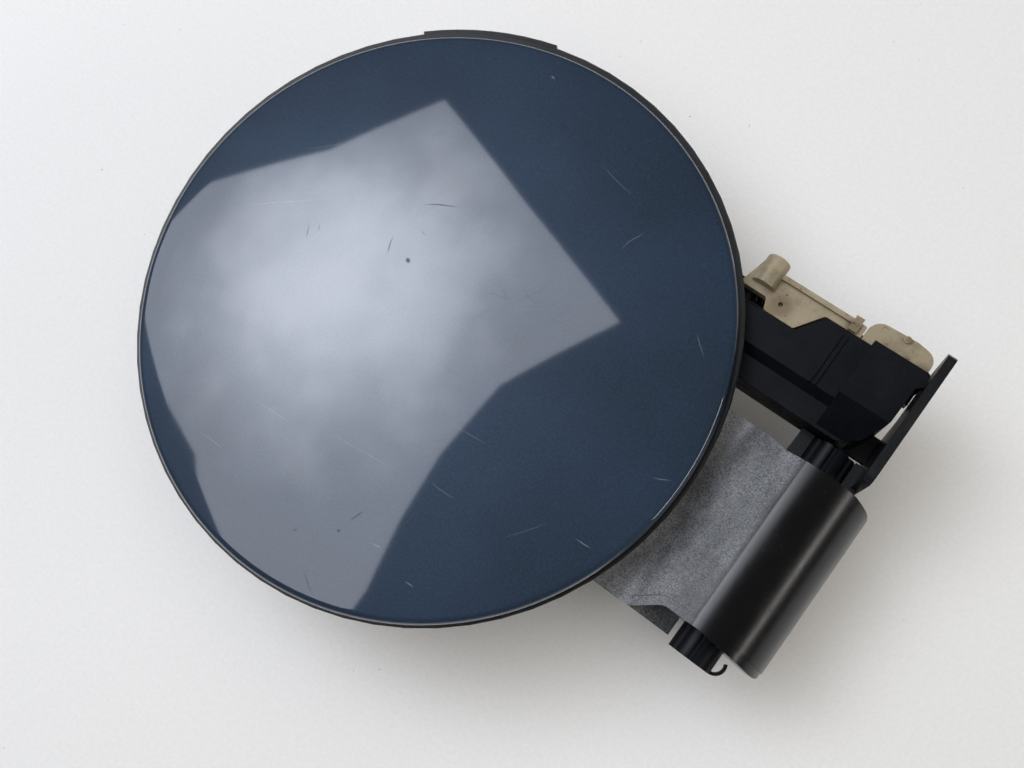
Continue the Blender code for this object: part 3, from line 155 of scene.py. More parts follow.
def beside(line: Sequence[Point], distance: float, closed: bool = False) -> list[Point]:
    """Move a line sideways, to its left.

    Args:
        line: The line's places.
        distance: How far, where a negative distance is to its right.
        closed: Whether the line is an outline.

    Returns:
        The moved line's places.
    """
    moved: list[Point] = []
    count = len(line)
    for index, place in enumerate(line):
        here = Vector(place)
        lefts = []
        if closed or index > 0:
            along = (here - Vector(line[index - 1])).normalized()
            lefts.append(Vector((-along.y, along.x)))
        if closed or index < count - 1:
            along = (Vector(line[(index + 1) % count]) - here).normalized()
            lefts.append(Vector((-along.y, along.x)))
        mean = sum(lefts, Vector((0.0, 0.0))).normalized()
        spot = here + mean * (distance / mean.dot(lefts[0]))
        moved.append((spot.x, spot.y))
    return moved


class Recipe:
    """The node tree of one material while it is being put together."""

    def __init__(self, name: str) -> None:
        """Start an empty material with a Principled shader.

        Args:
            name: The finish's name.
        """
        self.material = bpy.data.materials.new(name)
        self.material.use_nodes = True
        self.tree = self.material.node_tree
        self.shader = self.tree.nodes["Principled BSDF"]
        self.place = self.node("ShaderNodeTexCoord").outputs["Object"]

    def node(self, kind: str, settings: dict | None = None, inputs: dict | None = None) -> bpy.types.Node:
        """Add one node with its settings and links.

        Args:
            kind: The node's Blender type.
            settings: Attributes to set on the node.
            inputs: Socket name or index to a value or to another node's output.

        Returns:
            The new node.
        """
        made = self.tree.nodes.new(kind)
        for key, value in (settings or {}).items():
            setattr(made, key, value)
        for key, value in (inputs or {}).items():
            if isinstance(value, bpy.types.NodeSocket):
                self.tree.links.new(value, made.inputs[key])
            else:
                made.inputs[key].default_value = value
        return made

    def noise(self, size_mm: float, detail: float = 3.0, rough: float = 0.5,
              stretch: Point3 = (1.0, 1.0, 1.0), offset: float = 0.0) -> bpy.types.NodeSocket:
        """Cloudy pattern with blotches of a real size.

        Args:
            size_mm: Rough width of one blotch in millimetres.
            detail: Number of finer layers.
            rough: Strength of the finer layers.
            stretch: Factors on the pattern's frequency along X, Y and Z.
            offset: Shift of the pattern, to get another one.

        Returns:
            The pattern's value socket, about 0.5 on average.
        """
        scaled = self.node("ShaderNodeMapping", {"vector_type": "POINT"},
                           {"Vector": self.place, "Scale": stretch, "Location": (offset, offset, 0.0)})
        made = self.node("ShaderNodeTexNoise", {"noise_dimensions": "3D"},
                         {"Vector": scaled.outputs[0], "Scale": 1 / (size_mm * MM), "Detail": detail,
                          "Roughness": rough})
        return made.outputs["Fac"]

    def remap(self, value: bpy.types.NodeSocket, low: float, high: float,
              to_low: float = 0.0, to_high: float = 1.0, smooth: bool = True) -> bpy.types.NodeSocket:
        """Stretch a span of values to another span, clamped.

        Args:
            value: The value to change.
            low: Start of the span that is read.
            high: End of the span that is read.
            to_low: Result at the start.
            to_high: Result at the end.
            smooth: Whether the ends are eased.

        Returns:
            The changed value.
        """
        made = self.node("ShaderNodeMapRange",
                         {"interpolation_type": "SMOOTHSTEP" if smooth else "LINEAR", "clamp": True},
                         {"Value": value, "From Min": low, "From Max": high,
                          "To Min": to_low, "To Max": to_high})
        return made.outputs[0]

    def join(self, how: Blend, first: bpy.types.NodeSocket | float,
             second: bpy.types.NodeSocket | float) -> bpy.types.NodeSocket:
        """Combine two masks.

        Args:
            how: The way to combine them.
            first: One mask.
            second: The other mask.

        Returns:
            The combined mask.
        """
        return self.node("ShaderNodeMath", {"operation": how.value}, {0: first, 1: second}).outputs[0]

    def tint(self, factor: bpy.types.NodeSocket, under: object, over: object) -> bpy.types.NodeSocket:
        """Lay one colour over another.

        Args:
            factor: Mask of the upper colour.
            under: Lower colour, a value or a socket.
            over: Upper colour, a value or a socket.

        Returns:
            The mixed colour.
        """
        made = self.node("ShaderNodeMix", {"data_type": "RGBA", "blend_type": "MIX"},
                         {0: factor, 6: under, 7: over})
        return made.outputs[2]

    def mark(self, centre: Point, half_length: float, half_width: float, angle: float,
             spoilt: bpy.types.NodeSocket | None = None) -> bpy.types.NodeSocket:
        """Mask of one thin mark on the XY plane, full in its middle and fading to its ends.

        Args:
            centre: Place of its middle.
            half_length: Half its length.
            half_width: Half its width.
            angle: Its direction in radians from X.
            spoilt: Coordinates to read in place of the plain ones.

        Returns:
            The mask.
        """
        local = self.node("ShaderNodeMapping", {"vector_type": "TEXTURE"},
                          {"Vector": self.place if spoilt is None else spoilt,
                           "Location": (centre[0], centre[1], 0.0), "Rotation": (0.0, 0.0, angle),
                           "Scale": (half_length, half_width, 10.0)})
        away = self.node("ShaderNodeVectorMath", {"operation": "LENGTH"}, {0: local.outputs[0]})
        return self.remap(away.outputs["Value"], 1.0, 0.35)

    def span(self, axis: str, low: float, high: float, fade: float) -> bpy.types.NodeSocket:
        """Mask of a slab across an axis.

        Args:
            axis: X, Y or Z.
            low: Where it starts, in metres.
            high: Where it ends.
            fade: Half the width over which each end fades.

        Returns:
            The mask.
        """
        place = self.node("ShaderNodeSeparateXYZ", {}, {0: self.place}).outputs[axis]
        return self.join(Blend.PRODUCT, self.remap(place, low - fade, low + fade),
                         self.remap(place, high + fade, high - fade))

    def cloud(self, size_mm: float, detail: float = 2.0) -> bpy.types.NodeSocket:
        """Soft random vector for each place, about half in each direction.

        Args:
            size_mm: Rough width of one blotch in millimetres.
            detail: Number of finer layers.

        Returns:
            The pattern's colour socket.
        """
        made = self.node("ShaderNodeTexNoise", {"noise_dimensions": "3D"},
                         {"Vector": self.place, "Scale": 1 / (size_mm * MM), "Detail": detail})
        return made.outputs["Color"]

    def bump(self, height: bpy.types.NodeSocket, depth_mm: float, strength: float = 1.0,
             under: bpy.types.NodeSocket | None = None) -> bpy.types.NodeSocket:
        """Turn a pattern into a rough surface.

        Args:
            height: The pattern.
            depth_mm: Real height of the pattern in millimetres.
            strength: Share of it that shows.
            under: A normal that it is laid on.

        Returns:
            The normal socket.
        """
        inputs = {"Height": height, "Distance": depth_mm * MM, "Strength": strength}
        if under is not None:
            inputs["Normal"] = under
        return self.node("ShaderNodeBump", {}, inputs).outputs[0]

    def feed(self, **inputs: object) -> None:
        """Set or link the shader's sockets, with underscores for blanks in their names."""
        for key, value in inputs.items():
            socket = self.shader.inputs[key.replace("_", " ")]
            if isinstance(value, bpy.types.NodeSocket):
                self.tree.links.new(value, socket)
            else:
                socket.default_value = value


@dataclass(frozen=True)
class Viewpoint:
    """Where the photograph was taken from, and what a place in it shows.

    A place in the photograph is in pixels, across and down from its upper left corner.
    """

    stand: Point3 = (-0.0241, -0.0294, 0.3000)
    right: Point3 = (0.792, 0.5949, -0.1373)
    up: Point3 = (-0.56, 0.7974, 0.225)
    focal_pixels: float = 1000.0
    picture_width: float = 1024.0
    picture_height: float = 768.0

    def turn(self) -> Matrix:
        """Square up the camera's directions.

        Returns:
            Its right, up and back directions, as columns.
        """
        right = Vector(self.right).normalized()
        up = Vector(self.up)
        up = (up - right * up.dot(right)).normalized()
        return Matrix((right, up, right.cross(up))).transposed()

    def on_flap(self, pixel: Point) -> tuple[Vector, Vector]:
        """Follow a sight line to the flap's crowned skin and on from it.

        Args:
            pixel: The place in the photograph.

        Returns:
            The place on the skin, and the direction in which the lacquer mirrors the sight line.
        """
        stand = Vector(self.stand)
        ahead = Vector((pixel[0] - self.picture_width / 2, self.picture_height / 2 - pixel[1],
                        -self.focal_pixels))
        sight = (self.turn() @ ahead).normalized()
        ball = (FLAP_RADIUS ** 2 + FLAP_CROWN ** 2) / (2 * FLAP_CROWN)
        hub = FLAP_CENTRE + Vector((0.0, 0.0, FLAP_CROWN - ball))
        along = (stand - hub).dot(sight)
        reach = -along - sqrt(along ** 2 - (stand - hub).length_squared + ball ** 2)
        place = stand + sight * reach
        return place, sight.reflect((place - hub).normalized())

    def in_mirror(self, pixel: Point, height: float) -> Point:
        """Find what the flap mirrors at a place in the photograph.

        Args:
            pixel: The place in the photograph.
            height: Height of the level board that is mirrored.

        Returns:
            The place on the board.
        """
        place, away = self.on_flap(pixel)
        seen = place + away * ((height - place.z) / away.z)
        return (seen.x, seen.y)


@dataclass(frozen=True)
class Scratch:
    """One scratch in the lacquer: its ends in pixels of the photograph, its width in millimetres."""

    start: Point
    end: Point
    width: float
    depth: float
    pale: bool = False


@dataclass(frozen=True)
class MetallicPaint:
    """Two-coat metallic car enamel: a dark blue flake coat under clear lacquer.

    The flakes glow softly round a light's mirror direction, while the lacquer mirrors the
    light itself with the slight waves of sprayed paint. Wiping has left hairlines in it, and
    handling a few deeper scratches.
    """

    flake_colour: str = "#2a3f56"
    shade_colour: str = "#1b2b3d"
    primer_colour: str = "#9fa9ad"
    dirt_colour: str = "#0b0f14"
    dark_strength: float = 0.85
    pale_strength: float = 0.7
    flake_mm: float = 0.5
    haze_mm: float = 45.0
    grain_share: float = 0.35
    haze_share: float = 0.4
    waves_mm: float = 16.0
    wave_depth_mm: float = 0.010
    scratches: tuple[Scratch, ...] = ()

    def material(self) -> bpy.types.Material:
        """Build the finish.

        Returns:
            The material.
        """
        made = Recipe("metallic_enamel_on_steel")
        grain = made.remap(made.noise(self.flake_mm, 1.0, 0.4), 0.35, 0.70)
        haze = made.remap(made.noise(self.haze_mm, 2.0, 0.5), 0.3, 0.7)
        tone = made.join(Blend.SUM, made.join(Blend.PRODUCT, grain, self.grain_share),
                         made.join(Blend.PRODUCT, haze, self.haze_share))
        colour = made.tint(tone, linear(self.shade_colour), linear(self.flake_colour))
        dark, pale = self.marks(made)
        colour = made.tint(made.join(Blend.PRODUCT, dark, self.dark_strength), colour,
                           linear(self.dirt_colour))
        colour = made.tint(made.join(Blend.PRODUCT, pale, self.pale_strength), colour,
                           linear(self.primer_colour))
        waves = made.bump(made.noise(self.waves_mm, 1.5, 0.4), self.wave_depth_mm, 0.5)
        lacquer = made.join(Blend.SUM, 1.0, made.join(Blend.PRODUCT, dark, -0.75))
        made.feed(Base_Color=colour, Metallic=0.35, Roughness=0.5, Specular_IOR_Level=0.3,
                  Coat_Weight=lacquer, Coat_Roughness=0.045, Coat_IOR=1.68, Coat_Normal=waves)
        return made.material

    def marks(self, made: Recipe) -> tuple[bpy.types.NodeSocket, bpy.types.NodeSocket]:
        """Draw the scratches.

        Args:
            made: The recipe that they go into.

        Returns:
            Masks of the dark scratches and of the pale ones.
        """
        shake = made.node("ShaderNodeVectorMath", {"operation": "MULTIPLY_ADD"},
                          {0: made.cloud(5.0, 3.0), 1: (0.0012, 0.0012, 0.0), 2: made.place})
        masks: list[bpy.types.NodeSocket | None] = [None, None]
        view = Viewpoint()
        for scratch in self.scratches:
            start, end = (view.on_flap(pixel)[0].xy for pixel in (scratch.start, scratch.end))
            run = end - start
            middle = (start + end) / 2
            mask = made.mark((middle.x, middle.y), run.length / 2, scratch.width * MM / 2,
                             Vector((1.0, 0.0)).angle_signed(run) * -1, shake.outputs[0])
            mask = made.join(Blend.PRODUCT, mask, scratch.depth)
            kind = 1 if scratch.pale else 0
            masks[kind] = mask if masks[kind] is None else made.join(Blend.STRONGER, masks[kind], mask)
        return masks[0], masks[1]


@dataclass(frozen=True)
class BlackMoulding:
    """Injection moulded black polypropylene: fine spark-eroded grain, grey where it is rubbed. The grey is
    laid on within a span across X; where that span is narrowed to the arm's neck, the grey is partly scuffs
    and partly a painted sheen.
    """

    name: str
    colour: str = "#0a0a0c"
    scuff_and_sheen_colour: str = "#5a5e64"
    scuff_and_sheen_share: float = 0.0
    roughness: float = 0.34
    specular: float = 0.4
    grain_mm: float = 0.45
    grain_depth_mm: float = 0.02
    lint_mm: float = 0.9
    blotch_mm: float = 9.0
    blotch_stretch: Point3 = (1.0, 0.55, 1.0)
    scuff_and_sheen_span: Point = (-1.0, 1.0)
    scuff_and_sheen_fade: float = 1.2 * MM
    rubbed_roughness: float = 0.0

    def material(self) -> bpy.types.Material:
        """Build the finish.

        Returns:
            The material.
        """
        made = Recipe(self.name)
        grain = made.noise(self.grain_mm, 2.0, 0.6)
        blotches = made.noise(self.blotch_mm, 7.0, 0.72, self.blotch_stretch)
        # Span across X that holds the grey; on the arm's neck the grey is partly scuffs and partly a painted
        # sheen for the window's reflection.
        place = made.span("X", *self.scuff_and_sheen_span, self.scuff_and_sheen_fade)
        scuffs_and_sheen = made.join(Blend.PRODUCT, made.remap(blotches, 0.30, 0.66, 0.45),
                           made.remap(grain, 0.10, 0.80))
        scuffs_and_sheen = made.join(Blend.PRODUCT, scuffs_and_sheen, made.join(Blend.PRODUCT, place, self.scuff_and_sheen_share))
        lint = made.remap(made.noise(self.lint_mm, 3.0, 0.7, offset=0.21), 0.67, 0.73, 0.0, 0.30)
        lint = made.join(Blend.PRODUCT, lint, made.remap(blotches, 0.45, 0.65))
        colour = made.tint(made.join(Blend.STRONGER, scuffs_and_sheen, lint), linear(self.colour),
                           linear(self.scuff_and_sheen_colour))
        worn = made.join(Blend.PRODUCT, place, self.rubbed_roughness)
        rough = made.join(Blend.SUM, made.remap(blotches, 0.3, 0.7, self.roughness - 0.03,
                                                self.roughness + 0.05), worn)
        made.feed(Base_Color=colour, Roughness=rough, Specular_IOR_Level=self.specular,
                  Normal=made.bump(grain, self.grain_depth_mm, 0.5))
        return made.material


@dataclass(frozen=True)
class NaturalNylon:
    """Moulded natural polyamide: waxy, slightly see-through, stained brown by dust and fuel."""

    colour: str = "#988d75"
    stain_colour: str = "#6d604a"
    dirt_colour: str = "#2c2418"
    stain_mm: float = 7.0
    stain_strength: float = 0.7
    spot_strength: float = 0.85
    speck_mm: float = 1.0
    # Darker spots at the lug's hole, the slide's step and the guide: x, y and reach in millimetres
    darker_spots: tuple[tuple[float, float, float], ...] = (
        (-44.2, 57.3, 2.6), (-25.4, 62.4, 1.6), (-4.6, 60.6, 2.4), (-11.5, 67.8, 0.9),
    )

    def material(self) -> bpy.types.Material:
        """Build the finish.

        Returns:
            The material.
        """
        made = Recipe("natural_polyamide_stained")
        blotches = made.remap(made.noise(self.stain_mm, 4.0, 0.6), 0.42, 0.70)
        stains_and_spots = made.join(Blend.PRODUCT, blotches, self.stain_strength)
        # The darker spots are laid into the same mask as the random stains.
        for x, y, reach in self.darker_spots:
            spot = made.mark((x * MM, y * MM), 2 * reach * MM, 2 * reach * MM, 0.0)
            stains_and_spots = made.join(Blend.STRONGER, stains_and_spots, made.join(Blend.PRODUCT, spot, self.spot_strength))
        specks = made.remap(made.noise(self.speck_mm, 3.0, 0.7, offset=0.3), 0.60, 0.70)
        specks = made.join(Blend.PRODUCT, specks, made.remap(stains_and_spots, 0.15, 0.7, 0.25, 1.0))
        colour = made.tint(stains_and_spots, linear(self.colour), linear(self.stain_colour))
        colour = made.tint(specks, colour, linear(self.dirt_colour))
        made.feed(Base_Color=colour, Roughness=0.36, Subsurface_Weight=0.15,
                  Subsurface_Radius=(0.004, 0.003, 0.002), Subsurface_Scale=1.0,
                  Normal=made.bump(made.noise(0.8, 2.0, 0.5), 0.02, 0.4))
        return made.material


@dataclass(frozen=True)
class BufferRubber:
    """Moulded black rubber: matt, with a faint dusty bloom."""

    colour: str = "#151515"
    bloom: str = "#3a3a39"

    def material(self) -> bpy.types.Material:
        """Build the finish.

        Returns:
            The material.
        """
        made = Recipe("moulded_rubber")
        dust = made.remap(made.noise(2.5, 4.0, 0.6), 0.5, 0.75)
        dusty = made.tint(made.join(Blend.PRODUCT, dust, 0.5), linear(self.colour), linear(self.bloom))
        made.feed(Base_Color=dusty,
                  Roughness=0.78, Normal=made.bump(made.noise(0.3, 2.0, 0.5), 0.02, 0.5))
        return made.material


@dataclass(frozen=True)
class WireSteel:
    """Drawn and oiled spring wire: dark grey metal with fine lengthwise streaks."""

    colour: str = "#6e6c68"
    roughness: float = 0.36

    def material(self) -> bpy.types.Material:
        """Build the finish.

        Returns:
            The material.
        """
        made = Recipe("drawn_spring_wire")
        streaks = made.noise(0.5, 3.0, 0.6)
        made.feed(Base_Color=linear(self.colour), Metallic=1.0,
                  Roughness=made.remap(streaks, 0.3, 0.7, self.roughness, self.roughness + 0.2))
        return made.material


@dataclass(frozen=True)
class ZincPlate:
    """Electroplated zinc with a yellow passivation: satin metal, brownish in its hollows."""

    colour: str = "#b3a47c"
    stain_colour: str = "#6c5836"

    def material(self) -> bpy.types.Material:
        """Build the finish.

        Returns:
            The material.
        """
        made = Recipe("zinc_plated_steel")
        cloud = made.remap(made.noise(1.6, 3.0, 0.6), 0.4, 0.7)
        made.feed(Base_Color=made.tint(cloud, linear(self.colour), linear(self.stain_colour)), Metallic=1.0,
                  Roughness=made.remap(cloud, 0.0, 1.0, 0.3, 0.5))
        return made.material


@dataclass(frozen=True)
class TableTop:
    """Painted table: off-white, matt, with faint grain and a few specks of dust."""

    colour: str = "#ebebea"
    grain_colour: str = "#e6e6e4"
    speck_colour: str = "#9a8f80"

    def material(self) -> bpy.types.Material:
        """Build the finish.

        Returns:
            The material.
        """
        made = Recipe("matt_table_paint")
        dust = made.remap(made.noise(2.0, 2.0, 0.6), 0.765, 0.79)
        grain = made.remap(made.noise(1.3, 3.0, 0.7), 0.3, 0.7)
        base = made.tint(grain, linear(self.colour), linear(self.grain_colour))
        made.feed(Base_Color=made.tint(dust, base, linear(self.speck_colour)),
                  Roughness=0.75, Normal=made.bump(made.noise(1.3, 3.0, 0.6), 0.02, 0.2))
        return made.material


# The scratches that show on the flap, given as places in the photograph
FLAP_SCRATCHES: tuple[Scratch, ...] = (
    Scratch(start=(424, 203), end=(465, 206), width=0.5, depth=0.9),
    Scratch(start=(431, 137), end=(454, 129), width=0.3, depth=0.6),
    Scratch(start=(236, 205), end=(345, 198), width=0.22, depth=0.35, pale=True),
    Scratch(start=(313, 220), end=(308, 240), width=0.35, depth=0.8),
    Scratch(start=(323, 222), end=(321, 232), width=0.3, depth=0.7),
    Scratch(start=(396, 233), end=(389, 256), width=0.45, depth=0.8),
    Scratch(start=(423, 229), end=(430, 236), width=0.35, depth=0.8),
    Scratch(start=(305, 566), end=(317, 599), width=0.3, depth=0.7),
    Scratch(start=(351, 522), end=(369, 509), width=0.4, depth=0.9),
    Scratch(start=(296, 532), end=(300, 528), width=0.5, depth=0.8),
    Scratch(start=(340, 529), end=(344, 531), width=0.8, depth=0.8),
    Scratch(start=(409, 257), end=(414, 262), width=1.6, depth=1.0),
    Scratch(start=(373, 542), end=(386, 548), width=0.3, depth=0.6, pale=True),
    Scratch(start=(408, 580), end=(418, 587), width=0.4, depth=0.6, pale=True),
    Scratch(start=(576, 537), end=(596, 550), width=0.35, depth=0.6, pale=True),
    Scratch(start=(655, 477), end=(675, 480), width=0.3, depth=0.5, pale=True),
    Scratch(start=(480, 290), end=(520, 300), width=0.22, depth=0.5),
    Scratch(start=(500, 310), end=(560, 282), width=0.22, depth=0.45),
    Scratch(start=(520, 282), end=(546, 312), width=0.22, depth=0.4),
    Scratch(start=(470, 322), end=(500, 306), width=0.22, depth=0.4),
    Scratch(start=(540, 328), end=(580, 304), width=0.22, depth=0.45),
    Scratch(start=(560, 290), end=(590, 300), width=0.2, depth=0.4),
    Scratch(start=(505, 286), end=(512, 306), width=0.22, depth=0.5),
    Scratch(start=(200, 430), end=(230, 450), width=0.2, depth=0.35, pale=True),
    Scratch(start=(250, 395), end=(300, 425), width=0.2, depth=0.3, pale=True),
    Scratch(start=(330, 430), end=(400, 470), width=0.2, depth=0.3, pale=True),
    Scratch(start=(450, 420), end=(500, 450), width=0.2, depth=0.25, pale=True),
    Scratch(start=(620, 250), end=(650, 230), width=0.3, depth=0.4, pale=True),
    Scratch(start=(600, 160), end=(640, 200), width=0.25, depth=0.3, pale=True),
    Scratch(start=(300, 150), end=(360, 140), width=0.2, depth=0.35, pale=True),
    Scratch(start=(554, 75), end=(558, 79), width=0.5, depth=0.6, pale=True),
    Scratch(start=(150, 270), end=(156, 274), width=0.5, depth=0.7),
    Scratch(start=(700, 330), end=(708, 360), width=0.3, depth=0.4, pale=True),
    Scratch(start=(440, 360), end=(470, 380), width=0.2, depth=0.35),
    Scratch(start=(380, 320), end=(420, 300), width=0.2, depth=0.3),
    Scratch(start=(260, 300), end=(280, 330), width=0.22, depth=0.3),
    Scratch(start=(430, 480), end=(460, 500), width=0.25, depth=0.3, pale=True),
    Scratch(start=(500, 540), end=(560, 520), width=0.2, depth=0.25, pale=True),
)


class Finishes:
    """All the object's materials, each made once."""

    def __init__(self) -> None:
        """Make every finish."""
        self.by_slot: dict[Slot, bpy.types.Material] = {
            Slot.PAINT: MetallicPaint(scratches=FLAP_SCRATCHES).material(),
            Slot.MOULDING: BlackMoulding("moulded_polypropylene", scuff_and_sheen_share=0.12, roughness=0.34,
                                         specular=0.35).material(),
            Slot.HOUSING: BlackMoulding("housing_polyamide", colour="#06080c", scuff_and_sheen_colour="#23272e",
                                        scuff_and_sheen_share=0.3, roughness=0.40, specular=0.18).material(),
            Slot.NYLON: NaturalNylon().material(),
            Slot.RUBBER: BufferRubber().material(),
            Slot.SPRING: WireSteel().material(),
            Slot.SCREW: ZincPlate().material(),
        }
        # The arm's neck, up to the crease at the barrel, is painted light grey: partly scuffs, partly a
        # painted sheen standing in for the window's reflection.
        self.scuffs_and_sheen = BlackMoulding("polypropylene_scuffed_with_painted_sheen", scuff_and_sheen_colour="#8d9095", scuff_and_sheen_share=0.9,
                                    roughness=0.24, specular=0.45, grain_depth_mm=0.010,
                                    scuff_and_sheen_span=(-0.060, -0.0165), rubbed_roughness=0.12).material()

    def dress(self, piece: bpy.types.Object, slot: Slot, finish: bpy.types.Material | None = None) -> None:
        """Give a piece a finish.

        Args:
            piece: The piece.
            slot: Its material slot.
            finish: Its material, or None for the slot's own.
        """
        piece.data.materials.clear()
        piece.data.materials.append(finish or self.by_slot[slot])


class Bench:
    """Modelling steps that the sub-assemblies share, done with Blender's own operators."""

    @staticmethod
    def select(piece: bpy.types.Object | None) -> None:
        """Leave object mode, deselect everything and make one piece active.

        Args:
            piece: The piece, or None for nothing.
        """
        if bpy.context.object is not None and bpy.context.object.mode != "OBJECT":
            bpy.ops.object.mode_set(mode="OBJECT")
        bpy.ops.object.select_all(action="DESELECT")
        if piece is not None:
            piece.select_set(True)
            bpy.context.view_layer.objects.active = piece

    @staticmethod
    def settle(piece: bpy.types.Object) -> None:
        """Move a piece's place, turn and scale into its mesh.

        Args:
            piece: The piece.
        """
        Bench.select(piece)
        bpy.ops.object.transform_apply(location=True, rotation=True, scale=True)

    @staticmethod
    def merged_copy(node: str, name: str) -> bpy.types.Object:
        """Copy a CAD node and weld its loose triangles.

        Args:
            node: The CAD node.
            name: The copy's name.

        Returns:
            The copy.
        """
        source = bpy.data.objects[node]
        piece = bpy.data.objects.new(name, source.data.copy())
        bpy.context.scene.collection.objects.link(piece)
        Bench.select(piece)
        bpy.ops.object.mode_set(mode="EDIT")
        bpy.ops.mesh.select_all(action="SELECT")
        bpy.ops.mesh.remove_doubles(threshold=1e-6)
        bpy.ops.mesh.dissolve_limited(angle_limit=radians(0.6))
        bpy.ops.object.mode_set(mode="OBJECT")
        return piece

    @staticmethod
    def line(name: str, points: Sequence[Point3], closed: bool) -> bpy.types.Object:
        """Draw a line of edges by extruding one vertex from place to place.

        Args:
            name: The new object's name.
            points: The places.
            closed: Whether the last place is joined to the first and the line is filled.

        Returns:
            The line, or the filled outline, left in edit mode with all of it selected.
        """
        Bench.select(None)
        bpy.ops.mesh.primitive_plane_add(size=MM, location=(0.0, 0.0, 0.0))
        piece = bpy.context.object
        piece.name = name
        bpy.ops.object.mode_set(mode="EDIT")
        bpy.ops.mesh.select_mode(type="VERT")
        bpy.ops.mesh.select_all(action="SELECT")
        bpy.ops.mesh.merge(type="CENTER")
        bpy.ops.transform.translate(value=points[0])
        for before, after in zip(points, points[1:]):
            step = Vector(after) - Vector(before)
            bpy.ops.mesh.extrude_vertices_move(TRANSFORM_OT_translate={"value": step})
        bpy.ops.mesh.select_all(action="SELECT")
        if closed:
            bpy.ops.mesh.edge_face_add()
        return piece

    @staticmethod
    def prism(name: str, outline: Sequence[Point3], run: Point3) -> bpy.types.Object:
        """Push a flat outline along a vector into a solid.

        Args:
            name: The new object's name.
            outline: The outline's corners.
            run: The vector.

        Returns:
            The solid.
        """
        piece = Bench.line(name, outline, True)
        bpy.ops.mesh.extrude_region_move(TRANSFORM_OT_translate={"value": run})
        bpy.ops.mesh.select_all(action="SELECT")
        bpy.ops.mesh.normals_make_consistent(inside=False)
        bpy.ops.object.mode_set(mode="OBJECT")
        return piece

    @staticmethod
    def turned(name: str, profile: Sequence[Point3], centre: Vector, axis: Point3,
               steps: int) -> bpy.types.Object:
        """Spin a profile about an axis into a closed solid.

        Args:
            name: The new object's name.
            profile: Places of the profile, which starts and ends on the axis or is a ring.
            centre: A place on the axis.
            axis: The axis.
            steps: Number of faces round it.

        Returns:
            The solid.
        """
        piece = Bench.line(name, profile, False)
        bpy.ops.mesh.spin(steps=steps, angle=2 * pi, center=centre, axis=axis, use_normal_flip=False)
        bpy.ops.mesh.select_all(action="SELECT")
        bpy.ops.mesh.remove_doubles(threshold=WELD)
        bpy.ops.mesh.normals_make_consistent(inside=False)
        bpy.ops.object.mode_set(mode="OBJECT")
        return piece

    @staticmethod
    def rod(name: str, middle: Vector, radius: float, length: float, turn: Point3 = (0.0, 0.0, 0.0),
            facets: int = 48) -> bpy.types.Object:
        """Add a round bar.

        Args:
            name: The new object's name.
            middle: Its middle.
            radius: Its radius.
            length: Its length.
            turn: Its rotation in radians, from upright.
            facets: Number of faces round it.

        Returns:
            The bar.
        """
        Bench.select(None)
        bpy.ops.mesh.primitive_cylinder_add(vertices=facets, radius=radius, depth=length, location=middle,
                                            rotation=turn)
        piece = bpy.context.object
        piece.name = name
        Bench.settle(piece)
        return piece

    @staticmethod
    def block(name: str, low: Vector, high: Vector) -> bpy.types.Object:
        """Add a rectangular block between two corners.

        Args:
            name: The new object's name.
            low: Its lowest corner.
            high: Its highest corner.

        Returns:
            The block.
        """
        Bench.select(None)
        bpy.ops.mesh.primitive_cube_add(size=1.0, location=(low + high) / 2, scale=high - low)
        piece = bpy.context.object
        piece.name = name
        Bench.settle(piece)
        return piece

    @staticmethod
    def combine(piece: bpy.types.Object, tool: bpy.types.Object, how: Cut) -> None:
        """Unite, cut or cross a piece with another solid, which is used up.

        Args:
            piece: The piece.
            tool: The other solid.
            how: The way to combine them.
        """
        step = piece.modifiers.new("shape", "BOOLEAN")
        step.operation = how.value
        step.solver = "EXACT"
        step.object = tool
        Bench.select(piece)
        bpy.ops.object.modifier_apply(modifier=step.name)
        bpy.data.objects.remove(tool)

    @staticmethod
    def bevel_edges(piece: bpy.types.Object, chosen: Callable[[Vector, Vector, Vector], bool],
                    width: float, segments: int) -> None:
        """Round some of a piece's edges with the bevel operator.

        Args:
            piece: The piece.
            chosen: Test of an edge's middle and of the normals on its two sides.
            width: Width of the rounding in metres.
            segments: Number of faces across it.
        """
        Bench.select(piece)
        bpy.ops.object.mode_set(mode="EDIT")
        bpy.ops.mesh.select_all(action="SELECT")
        bpy.ops.mesh.remove_doubles(threshold=0.08 * MM)
        bpy.ops.mesh.select_mode(type="EDGE")
        bpy.ops.mesh.select_all(action="DESELECT")
        bpy.ops.object.mode_set(mode="OBJECT")
        mesh = piece.data
        sides: dict[tuple[int, int], list[Vector]] = {}
        for face in mesh.polygons:
            for key in face.edge_keys:
                sides.setdefault(key, []).append(face.normal)
        for edge in mesh.edges:
            normals = sides.get(tuple(edge.key), [])
            middle = (mesh.vertices[edge.vertices[0]].co + mesh.vertices[edge.vertices[1]].co) / 2
            edge.select = len(normals) == 2 and chosen(middle, *normals)
        bpy.ops.object.mode_set(mode="EDIT")
        bpy.ops.mesh.bevel(offset=width, segments=segments, profile=0.5, clamp_overlap=True)
        bpy.ops.mesh.select_mode(type="VERT")
        bpy.ops.mesh.select_all(action="SELECT")
        bpy.ops.mesh.remove_doubles(threshold=WELD)
        bpy.ops.object.mode_set(mode="OBJECT")

